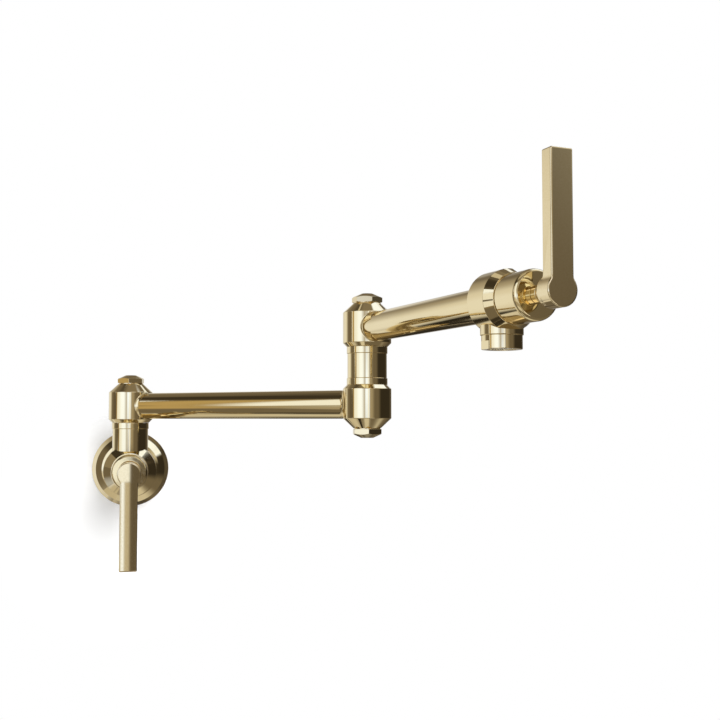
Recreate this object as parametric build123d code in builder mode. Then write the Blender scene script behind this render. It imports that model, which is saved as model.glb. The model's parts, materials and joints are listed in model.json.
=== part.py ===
"""Wall mounted pot filler: two swivelling arms, a quarter turn valve at the wall and one at the spout.

Units are millimetres, +Z is up and +Y runs into the wall.  The origin is the centre of the wall
flange, on the face of the wall.  Each valve is drawn in a frame whose z axis runs out of the wall or
along the second arm, towards the handle, and each hub in a frame that lies at the height of its arm.
"""

import os
from math import cos, radians, sin

from build123d import *

# ---------------------------------------------------------------- layout of the arms
wall_to_riser = 52.6  # wall to the axis of the riser
arm_1_height = 63.1  # above the axis of the inlet valve
arm_2_height = 129.0
arm_1_length = 262.1  # riser axis to elbow axis
arm_2_length = 227.9  # elbow axis to spout axis
arm_1_bearing = -39.6  # degrees from +X, seen from above
arm_2_bearing = -78.5

tube_radius = 12.5
tube_wall = 1.6
tube_seat = 14.6  # axis of a hub to the end of its tube
water_port_radius = 5.0

# ---------------------------------------------------------------- fits
running_clearance = 0.05  # radial, shaft in its bearing
swivel_gap = 0.1  # axial, hub above its wear ring
free_clearance = 0.3  # radial, between pieces that turn past each other without bearing
slip_clearance = 0.1  # radial, pieces pushed together by hand
edge_round = 0.4
cut_margin = 1.0  # cutters run this far past the faces they open

# ---------------------------------------------------------------- hubs, caps and rings
hub_radius = 21.0
hub_height = 26.3  # cylindrical band
hub_drop = 12.9  # arm axis down to the lower edge of the band
hub_chamfer = 3.3
hub_cone_height = 8.3
hub_crown_radius = 12.0  # flat at the top of the cone

elbow_hub_height = 25.4
elbow_hub_drop = 12.1
elbow_hub_chamfer = 3.4
elbow_hub_cone_height = 8.5

cap_radius = 13.5  # across corners, halved
cap_foot_radius = 11.4
cap_foot_height = 0.7
cap_side_height = 4.0
cap_cone_height = 3.7
cap_flat_radius = 5.3
cap_corner = 0.5  # bevel under the hexagon's corners
cap_stem_radius = 9.0
cap_stem_length = 5.2
hub_1_cap_turn = 21.9  # degrees, where one corner of the hexagon points
hub_2_cap_turn = 37.1
elbow_nut_turn = -24.4

ring_radius = 17.7
ring_height = 5.8
ring_seat_radius = 15.0
seal_height = 1.0
seal_radius = 10.4

# ---------------------------------------------------------------- riser, elbow post and their spigots
riser_radius = 17.1
riser_foot = 15.8  # valve axis to the foot of the riser, and to the head of the spout nipple
post_bore_radius = 6.0
spigot_radius = 12.0
spigot_top = 8.7  # above the arm axis
spigot_neck_radius = 7.5
spigot_neck_top = 15.0
waist_radius = 9.5
waist_height = 10.0
cross_bore_radius = 3.6
o_ring_section = 1.1
o_ring_groove_height = 2.6
lower_o_ring_level = -9.3  # about the arm axis
upper_o_ring_level = 6.8
bush_radius = 14.0
bush_height = 5.0
lip_height = 2.5
chamber_radius = 10.0
washer_radius = 8.8
washer_height = 1.0
retaining_ring_radius = 8.7
retaining_ring_height = 1.0
retaining_groove_depth = 0.6
retaining_ring_opening = 4.0

elbow_chamber_radius = 12.2
post_tail_radius = 13.0
post_tail_length = 7.0

# ---------------------------------------------------------------- valves: stations along the valve's axis
inlet_body_radius = 25.2
inlet_rim_station = 9.9
outlet_body_radius = 21.1
outlet_rim_station = 11.4
outlet_back_station = -10.2
outlet_tube_station = -8.0
nose_station = 19.0
nose_radius = 17.6

body_port_radius = 5.5  # from the cartridge's chamber to the riser or the spout nipple
cartridge_radius = 10.0
cartridge_seat_station = -6.0
cartridge_bore_radius = 8.0
cartridge_roof_station = 8.5
cartridge_shoulder_station = 12.0
cartridge_shoulder_radius = 14.4
cartridge_shoulder_height = 2.0
cartridge_neck_radius = 8.0
cartridge_neck_station = 34.0
window_width = 9.0
window_height = 5.0
seat_seal_height = 1.5
seat_seal_bore = 5.5
disc_radius = 7.7
disc_height = 3.0
disc_gap = 0.05
disc_port_radius = 6.4
disc_port_angle = 76.0  # under a quarter turn, so that the discs can shut
disc_hub_radius = 1.8
thread_radius = 14.5  # bonnet tail in the body

bonnet_radius = 17.05
bonnet_joint = 0.4  # fine joint between the nose and the bonnet
bonnet_edge_station = 41.6
bonnet_face_station = 45.0
bonnet_face_radius = 15.0
bonnet_front_wall = 6.0

# ---------------------------------------------------------------- handles
spindle_radius = 4.0
drive_head_radius = 7.4
drive_bar_width = 6.0
lever_socket_depth = 8.0
neck_gap = 0.3  # neck in front of the bonnet's face
neck_collar_radius = 6.6
neck_collar_height = 1.8
neck_radius = 5.2
neck_bead_radius = 6.4
neck_bead_station = 53.6
neck_bead_height = 2.6
neck_flare_radius = 8.6
neck_flare_height = 2.2
lever_back_station = 60.1
lever_face_station = 74.1
lever_head_radius = 10.5
lever_width = 15.2
lever_thickness = 10.1
lever_length = 88.2  # centre of the head to the end
lever_round = 1.0  # edges
lever_tip_round = 1.3  # corners of the outline
lever_crotch_round = 1.8
grub_radius = 2.0
grub_key_radius = 1.1
grub_key_depth = 2.0
lever_grub_length = 5.6
lever_grub_station = 64.5

# ---------------------------------------------------------------- wall flange and inlet shank
flange_radius = 38.2
flange_rim_height = 1.5
flange_step_radius = 34.2
flange_step_height = 10.5
flange_brow_radius = 28.2
flange_brow_height = 18.5
flange_lip_height = 19.8
flange_lip_width = 0.5  # flat around the valve body
flange_wall = 2.2
flange_neck_radius = 27.4
flange_neck_height = 6.5
gasket_inner_radius = 31.0
gasket_height = 1.5
flange_grub_height = 15.0  # distance from the wall
flange_grub_length = 5.0
shank_radius = 13.0
shank_hex_radius = 16.6
shank_hex_start = 5.0
shank_socket_depth = 12.0
inlet_body_back = 16.6  # distance from the wall
inlet_thread_radius = 9.3
inlet_thread_depth = 16.0
shank_passage_radius = 7.5

# ---------------------------------------------------------------- spout
nipple_radius = 14.6
nipple_drop = 22.9  # valve axis down to the nipple's lower edge
nipple_bore_radius = 8.5
nipple_thread_radius = 11.6
nipple_thread_length = 5.0
aerator_radius = 13.9
aerator_drop = 32.4
aerator_lip_radius = 9.8
aerator_lip_height = 0.9
aerator_washer_height = 0.8
aerator_hole_radius = 1.15
aerator_hole_pitch = 3.6
aerator_ring_holes = 6  # in the first ring, twice as many in the second
wrench_flat_depth = 0.9
wrench_flat_height = 5.6
wrench_cutter = 4.0

# ---------------------------------------------------------------- frames


def bearing_vector(bearing):
    """Horizontal unit vector at an angle from +X."""
    return Vector(cos(radians(bearing)), sin(radians(bearing)), 0)


arm_1_way = bearing_vector(arm_1_bearing)
arm_2_way = bearing_vector(arm_2_bearing)
riser_point = Vector(0, -wall_to_riser, 0)
elbow_point = riser_point + arm_1_way * arm_1_length
spout_point = elbow_point + arm_2_way * arm_2_length
up = Vector(0, 0, 1)

wall = Plane(origin=(0, 0, 0), x_dir=(1, 0, 0), z_dir=(0, -1, 0))
inlet = wall.offset(wall_to_riser)
riser = Plane(origin=riser_point, x_dir=(1, 0, 0), z_dir=up)
hub_1_frame = riser.offset(arm_1_height)
elbow_frame = Plane(origin=elbow_point + up * arm_1_height, x_dir=(1, 0, 0), z_dir=up)
elbow_nut_frame = Plane(origin=elbow_frame.origin, x_dir=(1, 0, 0), z_dir=-up)
hub_2_frame = Plane(origin=elbow_point + up * arm_2_height, x_dir=(1, 0, 0), z_dir=up)
arm_1 = Plane(origin=hub_1_frame.origin, x_dir=up, z_dir=arm_1_way)
arm_2 = Plane(origin=hub_2_frame.origin, x_dir=up, z_dir=arm_2_way)
across_arm_2 = bearing_vector(arm_2_bearing + 90)
outlet = Plane(origin=spout_point + up * arm_2_height, x_dir=across_arm_2, z_dir=arm_2_way)
spout = Plane(origin=outlet.origin, x_dir=outlet.x_dir, z_dir=-up)

# ---------------------------------------------------------------- worked out sizes

hub_foot = -hub_drop - hub_chamfer
ring_level = hub_foot - swivel_gap - ring_height
shoulder_level = hub_height - hub_drop
crown_level = shoulder_level + hub_cone_height
hub_bore_radius = spigot_radius + free_clearance
lip_level = spigot_top + free_clearance
chamber_level = lip_level + lip_height
washer_level = chamber_level + slip_clearance
retaining_level = washer_level + washer_height + slip_clearance
elbow_shoulder_level = elbow_hub_height - elbow_hub_drop
elbow_head = elbow_shoulder_level + elbow_hub_chamfer
elbow_foot = elbow_hub_drop + elbow_hub_cone_height
fixed_disc_station = cartridge_seat_station + seat_seal_height
moving_disc_station = fixed_disc_station + disc_height + disc_gap
drive_station = moving_disc_station + disc_height
bonnet_station = nose_station + bonnet_joint
bonnet_tail_station = cartridge_shoulder_station + cartridge_shoulder_height
inlet_body_station = inlet_body_back - wall_to_riser
spindle_end_station = lever_back_station + lever_socket_depth

# ---------------------------------------------------------------- helpers


def section(frame):
    """Plane along the z axis of a frame, where x is the radius and y the height."""
    return Plane(origin=frame.origin, x_dir=frame.x_dir, z_dir=-frame.y_dir)


def turn(frame, outline, mode=Mode.ADD):
    """Revolve a closed outline of (radius, height) points about the z axis of a frame."""
    with BuildSketch(section(frame)) as drawn:
        with BuildLine():
            Polyline(*outline, close=True)
        make_face()
    revolve(drawn.sketch, axis=Axis(frame.origin, frame.z_dir), mode=mode)


def sleeve(inner, outer, start, end):
    """Outline of a plain ring or, with no inner radius, of a disc."""
    return [(inner, start), (outer, start), (outer, end), (inner, end)]


def bore(frame, radius, start, end):
    """Cut a round hole along the z axis of a frame."""
    turn(frame, sleeve(0, radius, start, end), mode=Mode.SUBTRACT)


def rims(piece, frame, *rim_list):
    """The circular edges of a turned piece that have a given (radius, height) in the frame."""
    found = []
    for edge in piece.edges().filter_by(GeomType.CIRCLE):
        centre = frame.to_local_coords(edge.arc_center)
        on_axis = abs(centre.X) < 0.01 and abs(centre.Y) < 0.01
        for radius, height in rim_list:
            if on_axis and abs(edge.radius - radius) < 0.01 and abs(centre.Z - height) < 0.01:
                found.append(edge)
    return found


def finish(piece, name):
    """Label a piece and write it to its own file."""
    piece.label = name
    export_step(piece, "parts/" + name + ".step")


os.makedirs("parts", exist_ok=True)

# ---------------------------------------------------------------- wall flange

shell = [
    (flange_radius, 0),
    (flange_radius, flange_rim_height),
    (flange_step_radius, flange_step_height),
    (flange_brow_radius, flange_brow_height),
]
flange_bore_radius = inlet_body_radius + slip_clearance
hollow = [(radius - flange_wall, height) for radius, height in shell]
flange_neck_level = flange_brow_height - flange_neck_height

with BuildPart() as wall_flange:
    lip = (inlet_body_radius + flange_lip_width, flange_lip_height)
    turn(wall, shell + [lip, (0, flange_lip_height), (0, 0)])
    fillet(rims(wall_flange, wall, shell[1], shell[2], shell[3]), edge_round)
    turn(wall, hollow + [(0, flange_brow_height), (0, 0)], mode=Mode.SUBTRACT)
    turn(wall, sleeve(0, flange_neck_radius, flange_neck_level, flange_brow_height))
    bore(wall, flange_bore_radius, -cut_margin, flange_lip_height + cut_margin)
    with BuildSketch(Plane(origin=wall.offset(flange_grub_height).origin, z_dir=(0, 0, -1))):
        Circle(grub_radius)
    extrude(amount=flange_radius, mode=Mode.SUBTRACT)
finish(wall_flange.part, "wall_flange")

with BuildPart() as flange_gasket:
    turn(wall, sleeve(gasket_inner_radius, flange_radius - flange_wall, 0, gasket_height))
finish(flange_gasket.part, "flange_gasket")

# ---------------------------------------------------------------- wall side of the inlet valve

with BuildPart() as flange_set_screw:
    grub_tip = Vector(0, -flange_grub_height, -flange_bore_radius)
    with BuildSketch(Plane(origin=grub_tip, z_dir=(0, 0, -1))):
        Circle(grub_radius)
    extrude(amount=flange_grub_length)
    with BuildSketch(Plane(origin=grub_tip - up * flange_grub_length, z_dir=up)):
        RegularPolygon(grub_key_radius, 6)
    extrude(amount=grub_key_depth, mode=Mode.SUBTRACT)
finish(flange_set_screw.part, "flange_set_screw")

shank_end = inlet_body_back + shank_socket_depth
with BuildPart() as inlet_shank:
    turn(wall, sleeve(0, shank_radius, 0, shank_end))
    with BuildSketch(wall.offset(shank_hex_start)):
        RegularPolygon(shank_hex_radius, 6)
    extrude(amount=inlet_body_back - shank_hex_start)
    bore(wall, inlet_thread_radius, -cut_margin, inlet_thread_depth)
    bore(wall, shank_passage_radius, 0, shank_end + cut_margin)
finish(inlet_shank.part, "inlet_shank")


def cut_chamber(frame, passage_radius, passage_start):
    """Bore a valve body for its cartridge and bonnet, with the water way that feeds the seat."""
    pocket = cartridge_radius + slip_clearance
    bore(frame, pocket, cartridge_seat_station, cartridge_shoulder_station)
    bore(frame, thread_radius, cartridge_shoulder_station, nose_station + cut_margin)
    bore(frame, passage_radius, passage_start, cartridge_seat_station + cut_margin)


inlet_rim = (inlet_body_radius, inlet_rim_station)
nose = (nose_radius, nose_station)
with BuildPart() as inlet_body:
    back = (inlet_body_radius, inlet_body_station)
    turn(inlet, [(0, inlet_body_station), back, inlet_rim, nose, (0, nose_station)])
    fillet(rims(inlet_body, inlet, inlet_rim, nose), edge_round)
    bore(inlet, shank_radius, inlet_body_station, inlet_body_station + shank_socket_depth)
    bore(riser, riser_radius, riser_foot, inlet_body_radius + cut_margin)
    cut_chamber(inlet, shank_passage_radius, inlet_body_station)
    bore(riser, body_port_radius, 0, riser_foot + cut_margin)
finish(inlet_body.part, "inlet_body")

# ---------------------------------------------------------------- quarter turn valves, alike at both ends


def make_bonnet(frame):
    """Cap nut that holds the cartridge in, with a rounded front edge and a flat polished face."""
    with BuildPart() as bonnet:
        with BuildSketch(section(frame)) as drawn:
            with BuildLine():
                edge = (bonnet_radius, bonnet_edge_station)
                face = (bonnet_face_radius, bonnet_face_station)
                tail_end = (thread_radius, bonnet_tail_station)
                shoulder = [(thread_radius, bonnet_station), (bonnet_radius, bonnet_station)]
                Polyline((0, bonnet_face_station), (0, bonnet_tail_station), tail_end, *shoulder, edge)
                TangentArc(edge, face, tangent=(0, 1))
                Line(face, (0, bonnet_face_station))
            make_face()
        revolve(drawn.sketch, axis=Axis(frame.origin, frame.z_dir))
        inside_start = bonnet_tail_station - cut_margin
        inside_end = bonnet_face_station - bonnet_front_wall
        bore(frame, cartridge_neck_radius + slip_clearance, inside_start, inside_end)
        bore(frame, spindle_radius + free_clearance, inside_start, bonnet_face_station + cut_margin)
    return bonnet.part


def make_cartridge(frame):
    """Housing of the ceramic discs, with two windows for the water and a long neck for the spindle."""
    with BuildPart() as cartridge:
        shoulder_top = cartridge_shoulder_station + cartridge_shoulder_height
        outline = [
            (0, cartridge_seat_station),
            (cartridge_radius, cartridge_seat_station),
            (cartridge_radius, cartridge_shoulder_station),
            (cartridge_shoulder_radius, cartridge_shoulder_station),
            (cartridge_shoulder_radius, shoulder_top),
            (cartridge_neck_radius, shoulder_top),
            (cartridge_neck_radius, cartridge_neck_station),
            (0, cartridge_neck_station),
        ]
        turn(frame, outline)
        neck_end = cartridge_neck_station + cut_margin
        bore(frame, cartridge_bore_radius, cartridge_seat_station - cut_margin, cartridge_roof_station)
        bore(frame, spindle_radius + running_clearance, cartridge_roof_station, neck_end)
        window_start = cartridge_roof_station - window_height
        with BuildSketch(frame.offset(window_start)):
            Rectangle(window_width, 2 * (cartridge_radius + cut_margin))
        extrude(amount=window_height, mode=Mode.SUBTRACT)
    return cartridge.part


def make_seat_seal(frame):
    """Rubber ring between the cartridge's fixed disc and the body's seat."""
    with BuildPart() as seat_seal:
        turn(frame, sleeve(seat_seal_bore, disc_radius, cartridge_seat_station, fixed_disc_station))
    return seat_seal.part


def make_disc(frame, station, first_port):
    """Ceramic disc with two ports, each a sector that starts at an angle from the frame's x axis."""
    with BuildPart() as disc:
        turn(frame, sleeve(0, disc_radius, station, station + disc_height))
        with BuildSketch(frame.offset(station)):
            for middle in (first_port, first_port + 180):
                with BuildLine():
                    start = middle - disc_port_angle / 2
                    outer = CenterArc((0, 0), disc_port_radius, start, disc_port_angle)
                    inner = CenterArc((0, 0), disc_hub_radius, start, disc_port_angle)
                    Line(outer @ 0, inner @ 0)
                    Line(outer @ 1, inner @ 1)
                make_face()
        extrude(amount=disc_height, mode=Mode.SUBTRACT)
    return disc.part


def make_spindle(frame):
    """Spindle with a driving bar on the moving disc and a shaft up to the lever."""
    bar_top = cartridge_roof_station - slip_clearance
    across = 2 * (drive_head_radius + cut_margin)
    with BuildPart() as spindle:
        turn(frame, sleeve(0, drive_head_radius, drive_station, bar_top))
        with BuildSketch(frame.offset(drive_station)):
            Rectangle(across, across)
            Rectangle(across, drive_bar_width, mode=Mode.SUBTRACT)
        extrude(amount=bar_top - drive_station, mode=Mode.SUBTRACT)
        turn(frame, sleeve(0, spindle_radius, drive_station, spindle_end_station))
    return spindle.part


def make_neck(frame):
    """Turned neck between the bonnet and the lever: collar, bead and flare on a bored sleeve."""
    start = bonnet_face_station + neck_gap
    bead_start = neck_bead_station - neck_bead_height / 2
    bead_end = neck_bead_station + neck_bead_height / 2
    slope = neck_bead_height / 4
    flare_start = lever_back_station - neck_flare_height
    with BuildPart() as neck:
        outline = [
            (0, start),
            (neck_collar_radius, start),
            (neck_collar_radius, start + neck_collar_height),
            (neck_radius, start + neck_collar_height),
            (neck_radius, bead_start),
            (neck_bead_radius, bead_start + slope),
            (neck_bead_radius, bead_end - slope),
            (neck_radius, bead_end),
            (neck_radius, flare_start),
            (neck_flare_radius, lever_back_station),
            (0, lever_back_station),
        ]
        turn(frame, outline)
        bore(frame, spindle_radius, start - cut_margin, lever_back_station + cut_margin)
    return neck.part


def make_lever(frame, way):
    """Keyhole lever: a round head with a flat blade that points up (way 1) or down (way -1)."""
    blade_back_station = lever_face_station - lever_thickness
    with BuildPart() as lever:
        with BuildSketch(frame.offset(blade_back_station)) as keyhole:
            with Locations((0, way * lever_length / 2)):
                Rectangle(lever_width, lever_length)
            tip = keyhole.vertices().group_by(Axis.Y)[-1 if way > 0 else 0]
            fillet(tip, lever_tip_round)
            Circle(lever_head_radius)
            crotch = [v for v in keyhole.vertices() if 0 < way * v.Y < lever_head_radius]
            fillet(crotch, lever_crotch_round)
        extrude(amount=lever_thickness)
        with BuildSketch(frame.offset(lever_back_station)):
            Circle(lever_head_radius)
        extrude(amount=lever_face_station - lever_back_station)
        front = lever.faces().sort_by(Axis(frame.origin, frame.z_dir))[-1]
        fillet(front.edges(), lever_round)
        fillet(rims(lever, frame, (lever_head_radius, lever_back_station)), lever_round)
        bore(frame, spindle_radius, lever_back_station - cut_margin, spindle_end_station)
        with BuildSketch(side_plane(frame)):
            Circle(grub_radius)
        extrude(amount=lever_head_radius + cut_margin, mode=Mode.SUBTRACT)
    return lever.part


def side_plane(frame):
    """Plane through the valve's axis at the lever's grub screw, facing the screw's way in."""
    on_axis = frame.offset(lever_grub_station).origin
    return Plane(origin=on_axis, x_dir=frame.z_dir, z_dir=frame.x_dir)


def make_lever_grub(frame):
    """Grub screw that holds the lever on its spindle."""
    with BuildPart() as grub:
        with BuildSketch(side_plane(frame).offset(spindle_radius)):
            Circle(grub_radius)
        extrude(amount=lever_grub_length)
        with BuildSketch(side_plane(frame).offset(spindle_radius + lever_grub_length)):
            RegularPolygon(grub_key_radius, 6)
        extrude(amount=-grub_key_depth, mode=Mode.SUBTRACT)
    return grub.part


for valve, frame, lever_way in (("inlet", inlet, -1), ("outlet", outlet, 1)):
    finish(make_bonnet(frame), valve + "_bonnet")
    finish(make_cartridge(frame), valve + "_cartridge")
    finish(make_seat_seal(frame), valve + "_seat_seal")
    finish(make_disc(frame, fixed_disc_station, 0), valve + "_fixed_disc")
    finish(make_disc(frame, moving_disc_station, 90), valve + "_moving_disc")
    finish(make_spindle(frame), valve + "_spindle")
    finish(make_neck(frame), valve + "_neck")
    finish(make_lever(frame, lever_way), valve + "_lever")
    finish(make_lever_grub(frame), valve + "_lever_grub")

# ---------------------------------------------------------------- posts: the riser and the elbow post

groove_floor = hub_bore_radius - running_clearance - 2 * o_ring_section - slip_clearance
retaining_floor = spigot_neck_radius - retaining_groove_depth
ring_top = ring_level + ring_height


def groove(level):
    """Outline of an O-ring groove in the spigot, centred on a level."""
    low = level - o_ring_groove_height / 2
    high = level + o_ring_groove_height / 2
    return [(spigot_radius, low), (groove_floor, low), (groove_floor, high), (spigot_radius, high)]


spigot = [
    (riser_radius, ring_level),
    (ring_seat_radius, ring_level),
    (ring_seat_radius, ring_top),
    (spigot_radius, ring_top),
    *groove(lower_o_ring_level),
    (spigot_radius, -waist_height / 2),
    (waist_radius, -waist_height / 2),
    (waist_radius, waist_height / 2),
    (spigot_radius, waist_height / 2),
    *groove(upper_o_ring_level),
    (spigot_radius, spigot_top),
    (spigot_neck_radius, spigot_top),
    (spigot_neck_radius, retaining_level),
    (retaining_floor, retaining_level),
    (retaining_floor, retaining_level + retaining_ring_height),
    (spigot_neck_radius, retaining_level + retaining_ring_height),
    (spigot_neck_radius, spigot_neck_top),
    (0, spigot_neck_top),
]


def make_post(frame, foot, foot_outline):
    """Hollow post that ends in a swivel spigot, with cross bores that feed the hub around it."""
    with BuildPart() as post:
        turn(frame, [(0, foot)] + foot_outline + spigot)
        bore(frame, post_bore_radius, foot - cut_margin, cross_bore_radius + cut_margin)
        for direction in (frame.x_dir, frame.y_dir):
            with BuildSketch(Plane(origin=frame.origin, z_dir=direction)):
                Circle(cross_bore_radius)
            extrude(amount=spigot_radius + cut_margin, both=True, mode=Mode.SUBTRACT)
    return post.part


def make_ring(frame, level):
    """Plain wear ring that sits on a post's ring seat."""
    with BuildPart() as ring:
        turn(frame, sleeve(ring_seat_radius, ring_radius, level, level + ring_height))
    return ring.part


def make_o_rings(frame):
    """The two O-rings of a spigot."""
    centre_radius = hub_bore_radius - running_clearance - o_ring_section
    with BuildPart() as o_rings:
        for level in (lower_o_ring_level, upper_o_ring_level):
            with BuildSketch(section(frame)) as drawn:
                with Locations((centre_radius, level)):
                    Circle(o_ring_section)
            revolve(drawn.sketch, axis=Axis(frame.origin, frame.z_dir))
    return o_rings.part


def make_washer(frame):
    """Thrust washer above the hub's inner lip."""
    with BuildPart() as washer:
        hole = spigot_neck_radius + running_clearance
        turn(frame, sleeve(hole, washer_radius, washer_level, washer_level + washer_height))
    return washer.part


def make_retaining_ring(frame):
    """Open spring ring in the groove of the spigot's neck."""
    with BuildPart() as ring:
        top = retaining_level + retaining_ring_height
        turn(frame, sleeve(retaining_floor, retaining_ring_radius, retaining_level, top))
        with BuildSketch(frame.offset(retaining_level)):
            with Locations((retaining_ring_radius, 0)):
                Rectangle(retaining_ring_radius, retaining_ring_opening)
        extrude(amount=retaining_ring_height, mode=Mode.SUBTRACT)
    return ring.part


riser_start = riser_foot - arm_1_height
elbow_seat = arm_1_height + elbow_head - arm_2_height
elbow_tail = elbow_seat - post_tail_length
elbow_tail_outline = [
    (post_tail_radius, elbow_tail),
    (post_tail_radius, elbow_seat),
    (ring_seat_radius, elbow_seat),
    (ring_seat_radius, elbow_seat + ring_height),
    (riser_radius, elbow_seat + ring_height),
]
finish(make_post(hub_1_frame, riser_start, [(riser_radius, riser_start)]), "riser_post")
finish(make_post(hub_2_frame, elbow_tail, elbow_tail_outline), "elbow_post")
finish(make_ring(hub_2_frame, elbow_seat), "elbow_lower_ring")

for post, frame in (("riser", hub_1_frame), ("elbow", hub_2_frame)):
    finish(make_ring(frame, ring_level), post + "_wear_ring")
    finish(make_o_rings(frame), post + "_o_rings")
    finish(make_washer(frame), post + "_thrust_washer")
    finish(make_retaining_ring(frame), post + "_retaining_ring")

# ---------------------------------------------------------------- hubs, caps and arm tubes


def make_hub(frame, arm):
    """Swivel hub at the near end of an arm: bored for the spigot, with a lip for the thrust washer."""
    with BuildPart() as hub:
        lower_edge = (hub_radius, -hub_drop)
        shoulder = (hub_radius, shoulder_level)
        crown = (hub_crown_radius, crown_level)
        turn(frame, [(0, hub_foot), (ring_radius, hub_foot), lower_edge, shoulder, crown, (0, crown_level)])
        fillet(rims(hub, frame, lower_edge, shoulder), edge_round)
        bore(arm, tube_radius, tube_seat, hub_radius + cut_margin)
        bore(arm, water_port_radius, 0, tube_seat + cut_margin)
        bore(frame, bush_radius, hub_foot - cut_margin, hub_foot + bush_height)
        bore(frame, hub_bore_radius, hub_foot, lip_level)
        bore(frame, spigot_neck_radius + slip_clearance, lip_level, chamber_level)
        bore(frame, chamber_radius, chamber_level, crown_level - cap_stem_length)
        bore(frame, cap_stem_radius, chamber_level, crown_level + cut_margin)
        bore(frame, seal_radius, crown_level - seal_height, crown_level + cut_margin)
    return hub.part


def make_bush(frame):
    """Bearing bush in the foot of a hub."""
    with BuildPart() as bush:
        hole = spigot_radius + running_clearance
        turn(frame, sleeve(hole, bush_radius, hub_foot, hub_foot + bush_height))
    return bush.part


def make_cap(frame, level, angle):
    """Hexagon cap with a coned top and a stem, seated at a level with a corner at an angle."""
    side_start = level + cap_foot_height
    side_end = side_start + cap_side_height
    top = side_end + cap_cone_height
    with BuildPart() as cap:
        with BuildSketch(frame.offset(side_start)):
            RegularPolygon(cap_radius, 6, rotation=angle)
        extrude(amount=cap_side_height + cap_cone_height)
        turned_limits = [
            (0, side_start),
            (cap_radius - cap_corner, side_start),
            (cap_radius, side_start + cap_corner),
            (cap_radius, side_end),
            (cap_flat_radius, top),
            (0, top),
        ]
        turn(frame, turned_limits, mode=Mode.INTERSECT)
        turn(frame, sleeve(0, cap_foot_radius, level, side_start))
        turn(frame, sleeve(0, cap_stem_radius, level - cap_stem_length, level))
    return cap.part


def make_cap_seal(frame, level):
    """Flat seal in the recess below a cap."""
    with BuildPart() as seal:
        turn(frame, sleeve(cap_stem_radius, seal_radius, level - seal_height, level))
    return seal.part


for hub, frame, arm, angle in (
    ("hub_1", hub_1_frame, arm_1, hub_1_cap_turn),
    ("hub_2", hub_2_frame, arm_2, hub_2_cap_turn),
):
    finish(make_hub(frame, arm), hub)
    finish(make_bush(frame), hub + "_bush")
    finish(make_cap(frame, crown_level, angle), hub + "_cap")
    finish(make_cap_seal(frame, crown_level), hub + "_cap_seal")

finish(make_cap(elbow_nut_frame, elbow_foot, elbow_nut_turn), "elbow_nut")
finish(make_cap_seal(elbow_nut_frame, elbow_foot), "elbow_nut_seal")

with BuildPart() as elbow_hub:
    elbow_lower_edge = (hub_radius, -elbow_hub_drop)
    elbow_upper_edge = (hub_radius, elbow_shoulder_level)
    elbow_outline = [
        (0, -elbow_foot),
        (hub_crown_radius, -elbow_foot),
        elbow_lower_edge,
        elbow_upper_edge,
        (ring_radius, elbow_head),
        (0, elbow_head),
    ]
    turn(elbow_frame, elbow_outline)
    fillet(rims(elbow_hub, elbow_frame, elbow_lower_edge, elbow_upper_edge), edge_round)
    nut_side = -elbow_foot - cut_margin
    tube_stop = arm_1_length - tube_seat
    bore(arm_1, tube_radius, arm_1_length - hub_radius - cut_margin, tube_stop)
    bore(arm_1, water_port_radius, tube_stop - cut_margin, arm_1_length)
    bore(elbow_frame, post_tail_radius, elbow_head - post_tail_length, elbow_head + cut_margin)
    bore(elbow_frame, elbow_chamber_radius, cap_stem_length - elbow_foot, elbow_head)
    bore(elbow_frame, cap_stem_radius, nut_side, 0)
    bore(elbow_frame, seal_radius, nut_side, seal_height - elbow_foot)
finish(elbow_hub.part, "elbow_hub")

for tube, arm, tube_end in (
    ("arm_1_tube", arm_1, tube_stop),
    ("arm_2_tube", arm_2, arm_2_length + outlet_tube_station),
):
    with BuildPart() as arm_tube:
        turn(arm, sleeve(tube_radius - tube_wall, tube_radius, tube_seat, tube_end))
    finish(arm_tube.part, tube)

# ---------------------------------------------------------------- outlet body and spout

outlet_rim = (outlet_body_radius, outlet_rim_station)
with BuildPart() as outlet_body:
    back = (outlet_body_radius, outlet_back_station)
    turn(outlet, [(0, outlet_back_station), back, outlet_rim, nose, (0, nose_station)])
    fillet(rims(outlet_body, outlet, back, outlet_rim, nose), edge_round)
    bore(outlet, tube_radius, outlet_back_station - cut_margin, outlet_tube_station)
    bore(spout, nipple_radius, riser_foot, outlet_body_radius + cut_margin)
    cut_chamber(outlet, water_port_radius, outlet_tube_station - cut_margin)
    bore(spout, body_port_radius, 0, riser_foot + cut_margin)
finish(outlet_body.part, "outlet_body")

nipple_end = nipple_drop + nipple_thread_length
insert_top = nipple_end + aerator_washer_height
insert_bottom = aerator_drop - aerator_lip_height

with BuildPart() as spout_nipple:
    collar_outline = [
        (nipple_bore_radius, riser_foot),
        (nipple_radius, riser_foot),
        (nipple_radius, nipple_drop),
        (nipple_thread_radius, nipple_drop),
        (nipple_thread_radius, nipple_end),
        (nipple_bore_radius, nipple_end),
    ]
    turn(spout, collar_outline)
    fillet(rims(spout_nipple, spout, (nipple_radius, nipple_drop)), edge_round)
finish(spout_nipple.part, "spout_nipple")

with BuildPart() as aerator_washer:
    turn(spout, sleeve(nipple_bore_radius, nipple_thread_radius, nipple_end, insert_top))
finish(aerator_washer.part, "aerator_washer")

with BuildPart() as aerator_insert:
    turn(spout, sleeve(0, nipple_thread_radius, insert_top, insert_bottom))
    with BuildSketch(spout.offset(insert_top)):
        Circle(aerator_hole_radius)
        for ring_number in (1, 2):
            with PolarLocations(ring_number * aerator_hole_pitch, ring_number * aerator_ring_holes):
                Circle(aerator_hole_radius)
    extrude(amount=insert_bottom - insert_top, mode=Mode.SUBTRACT)
finish(aerator_insert.part, "aerator_insert")

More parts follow.
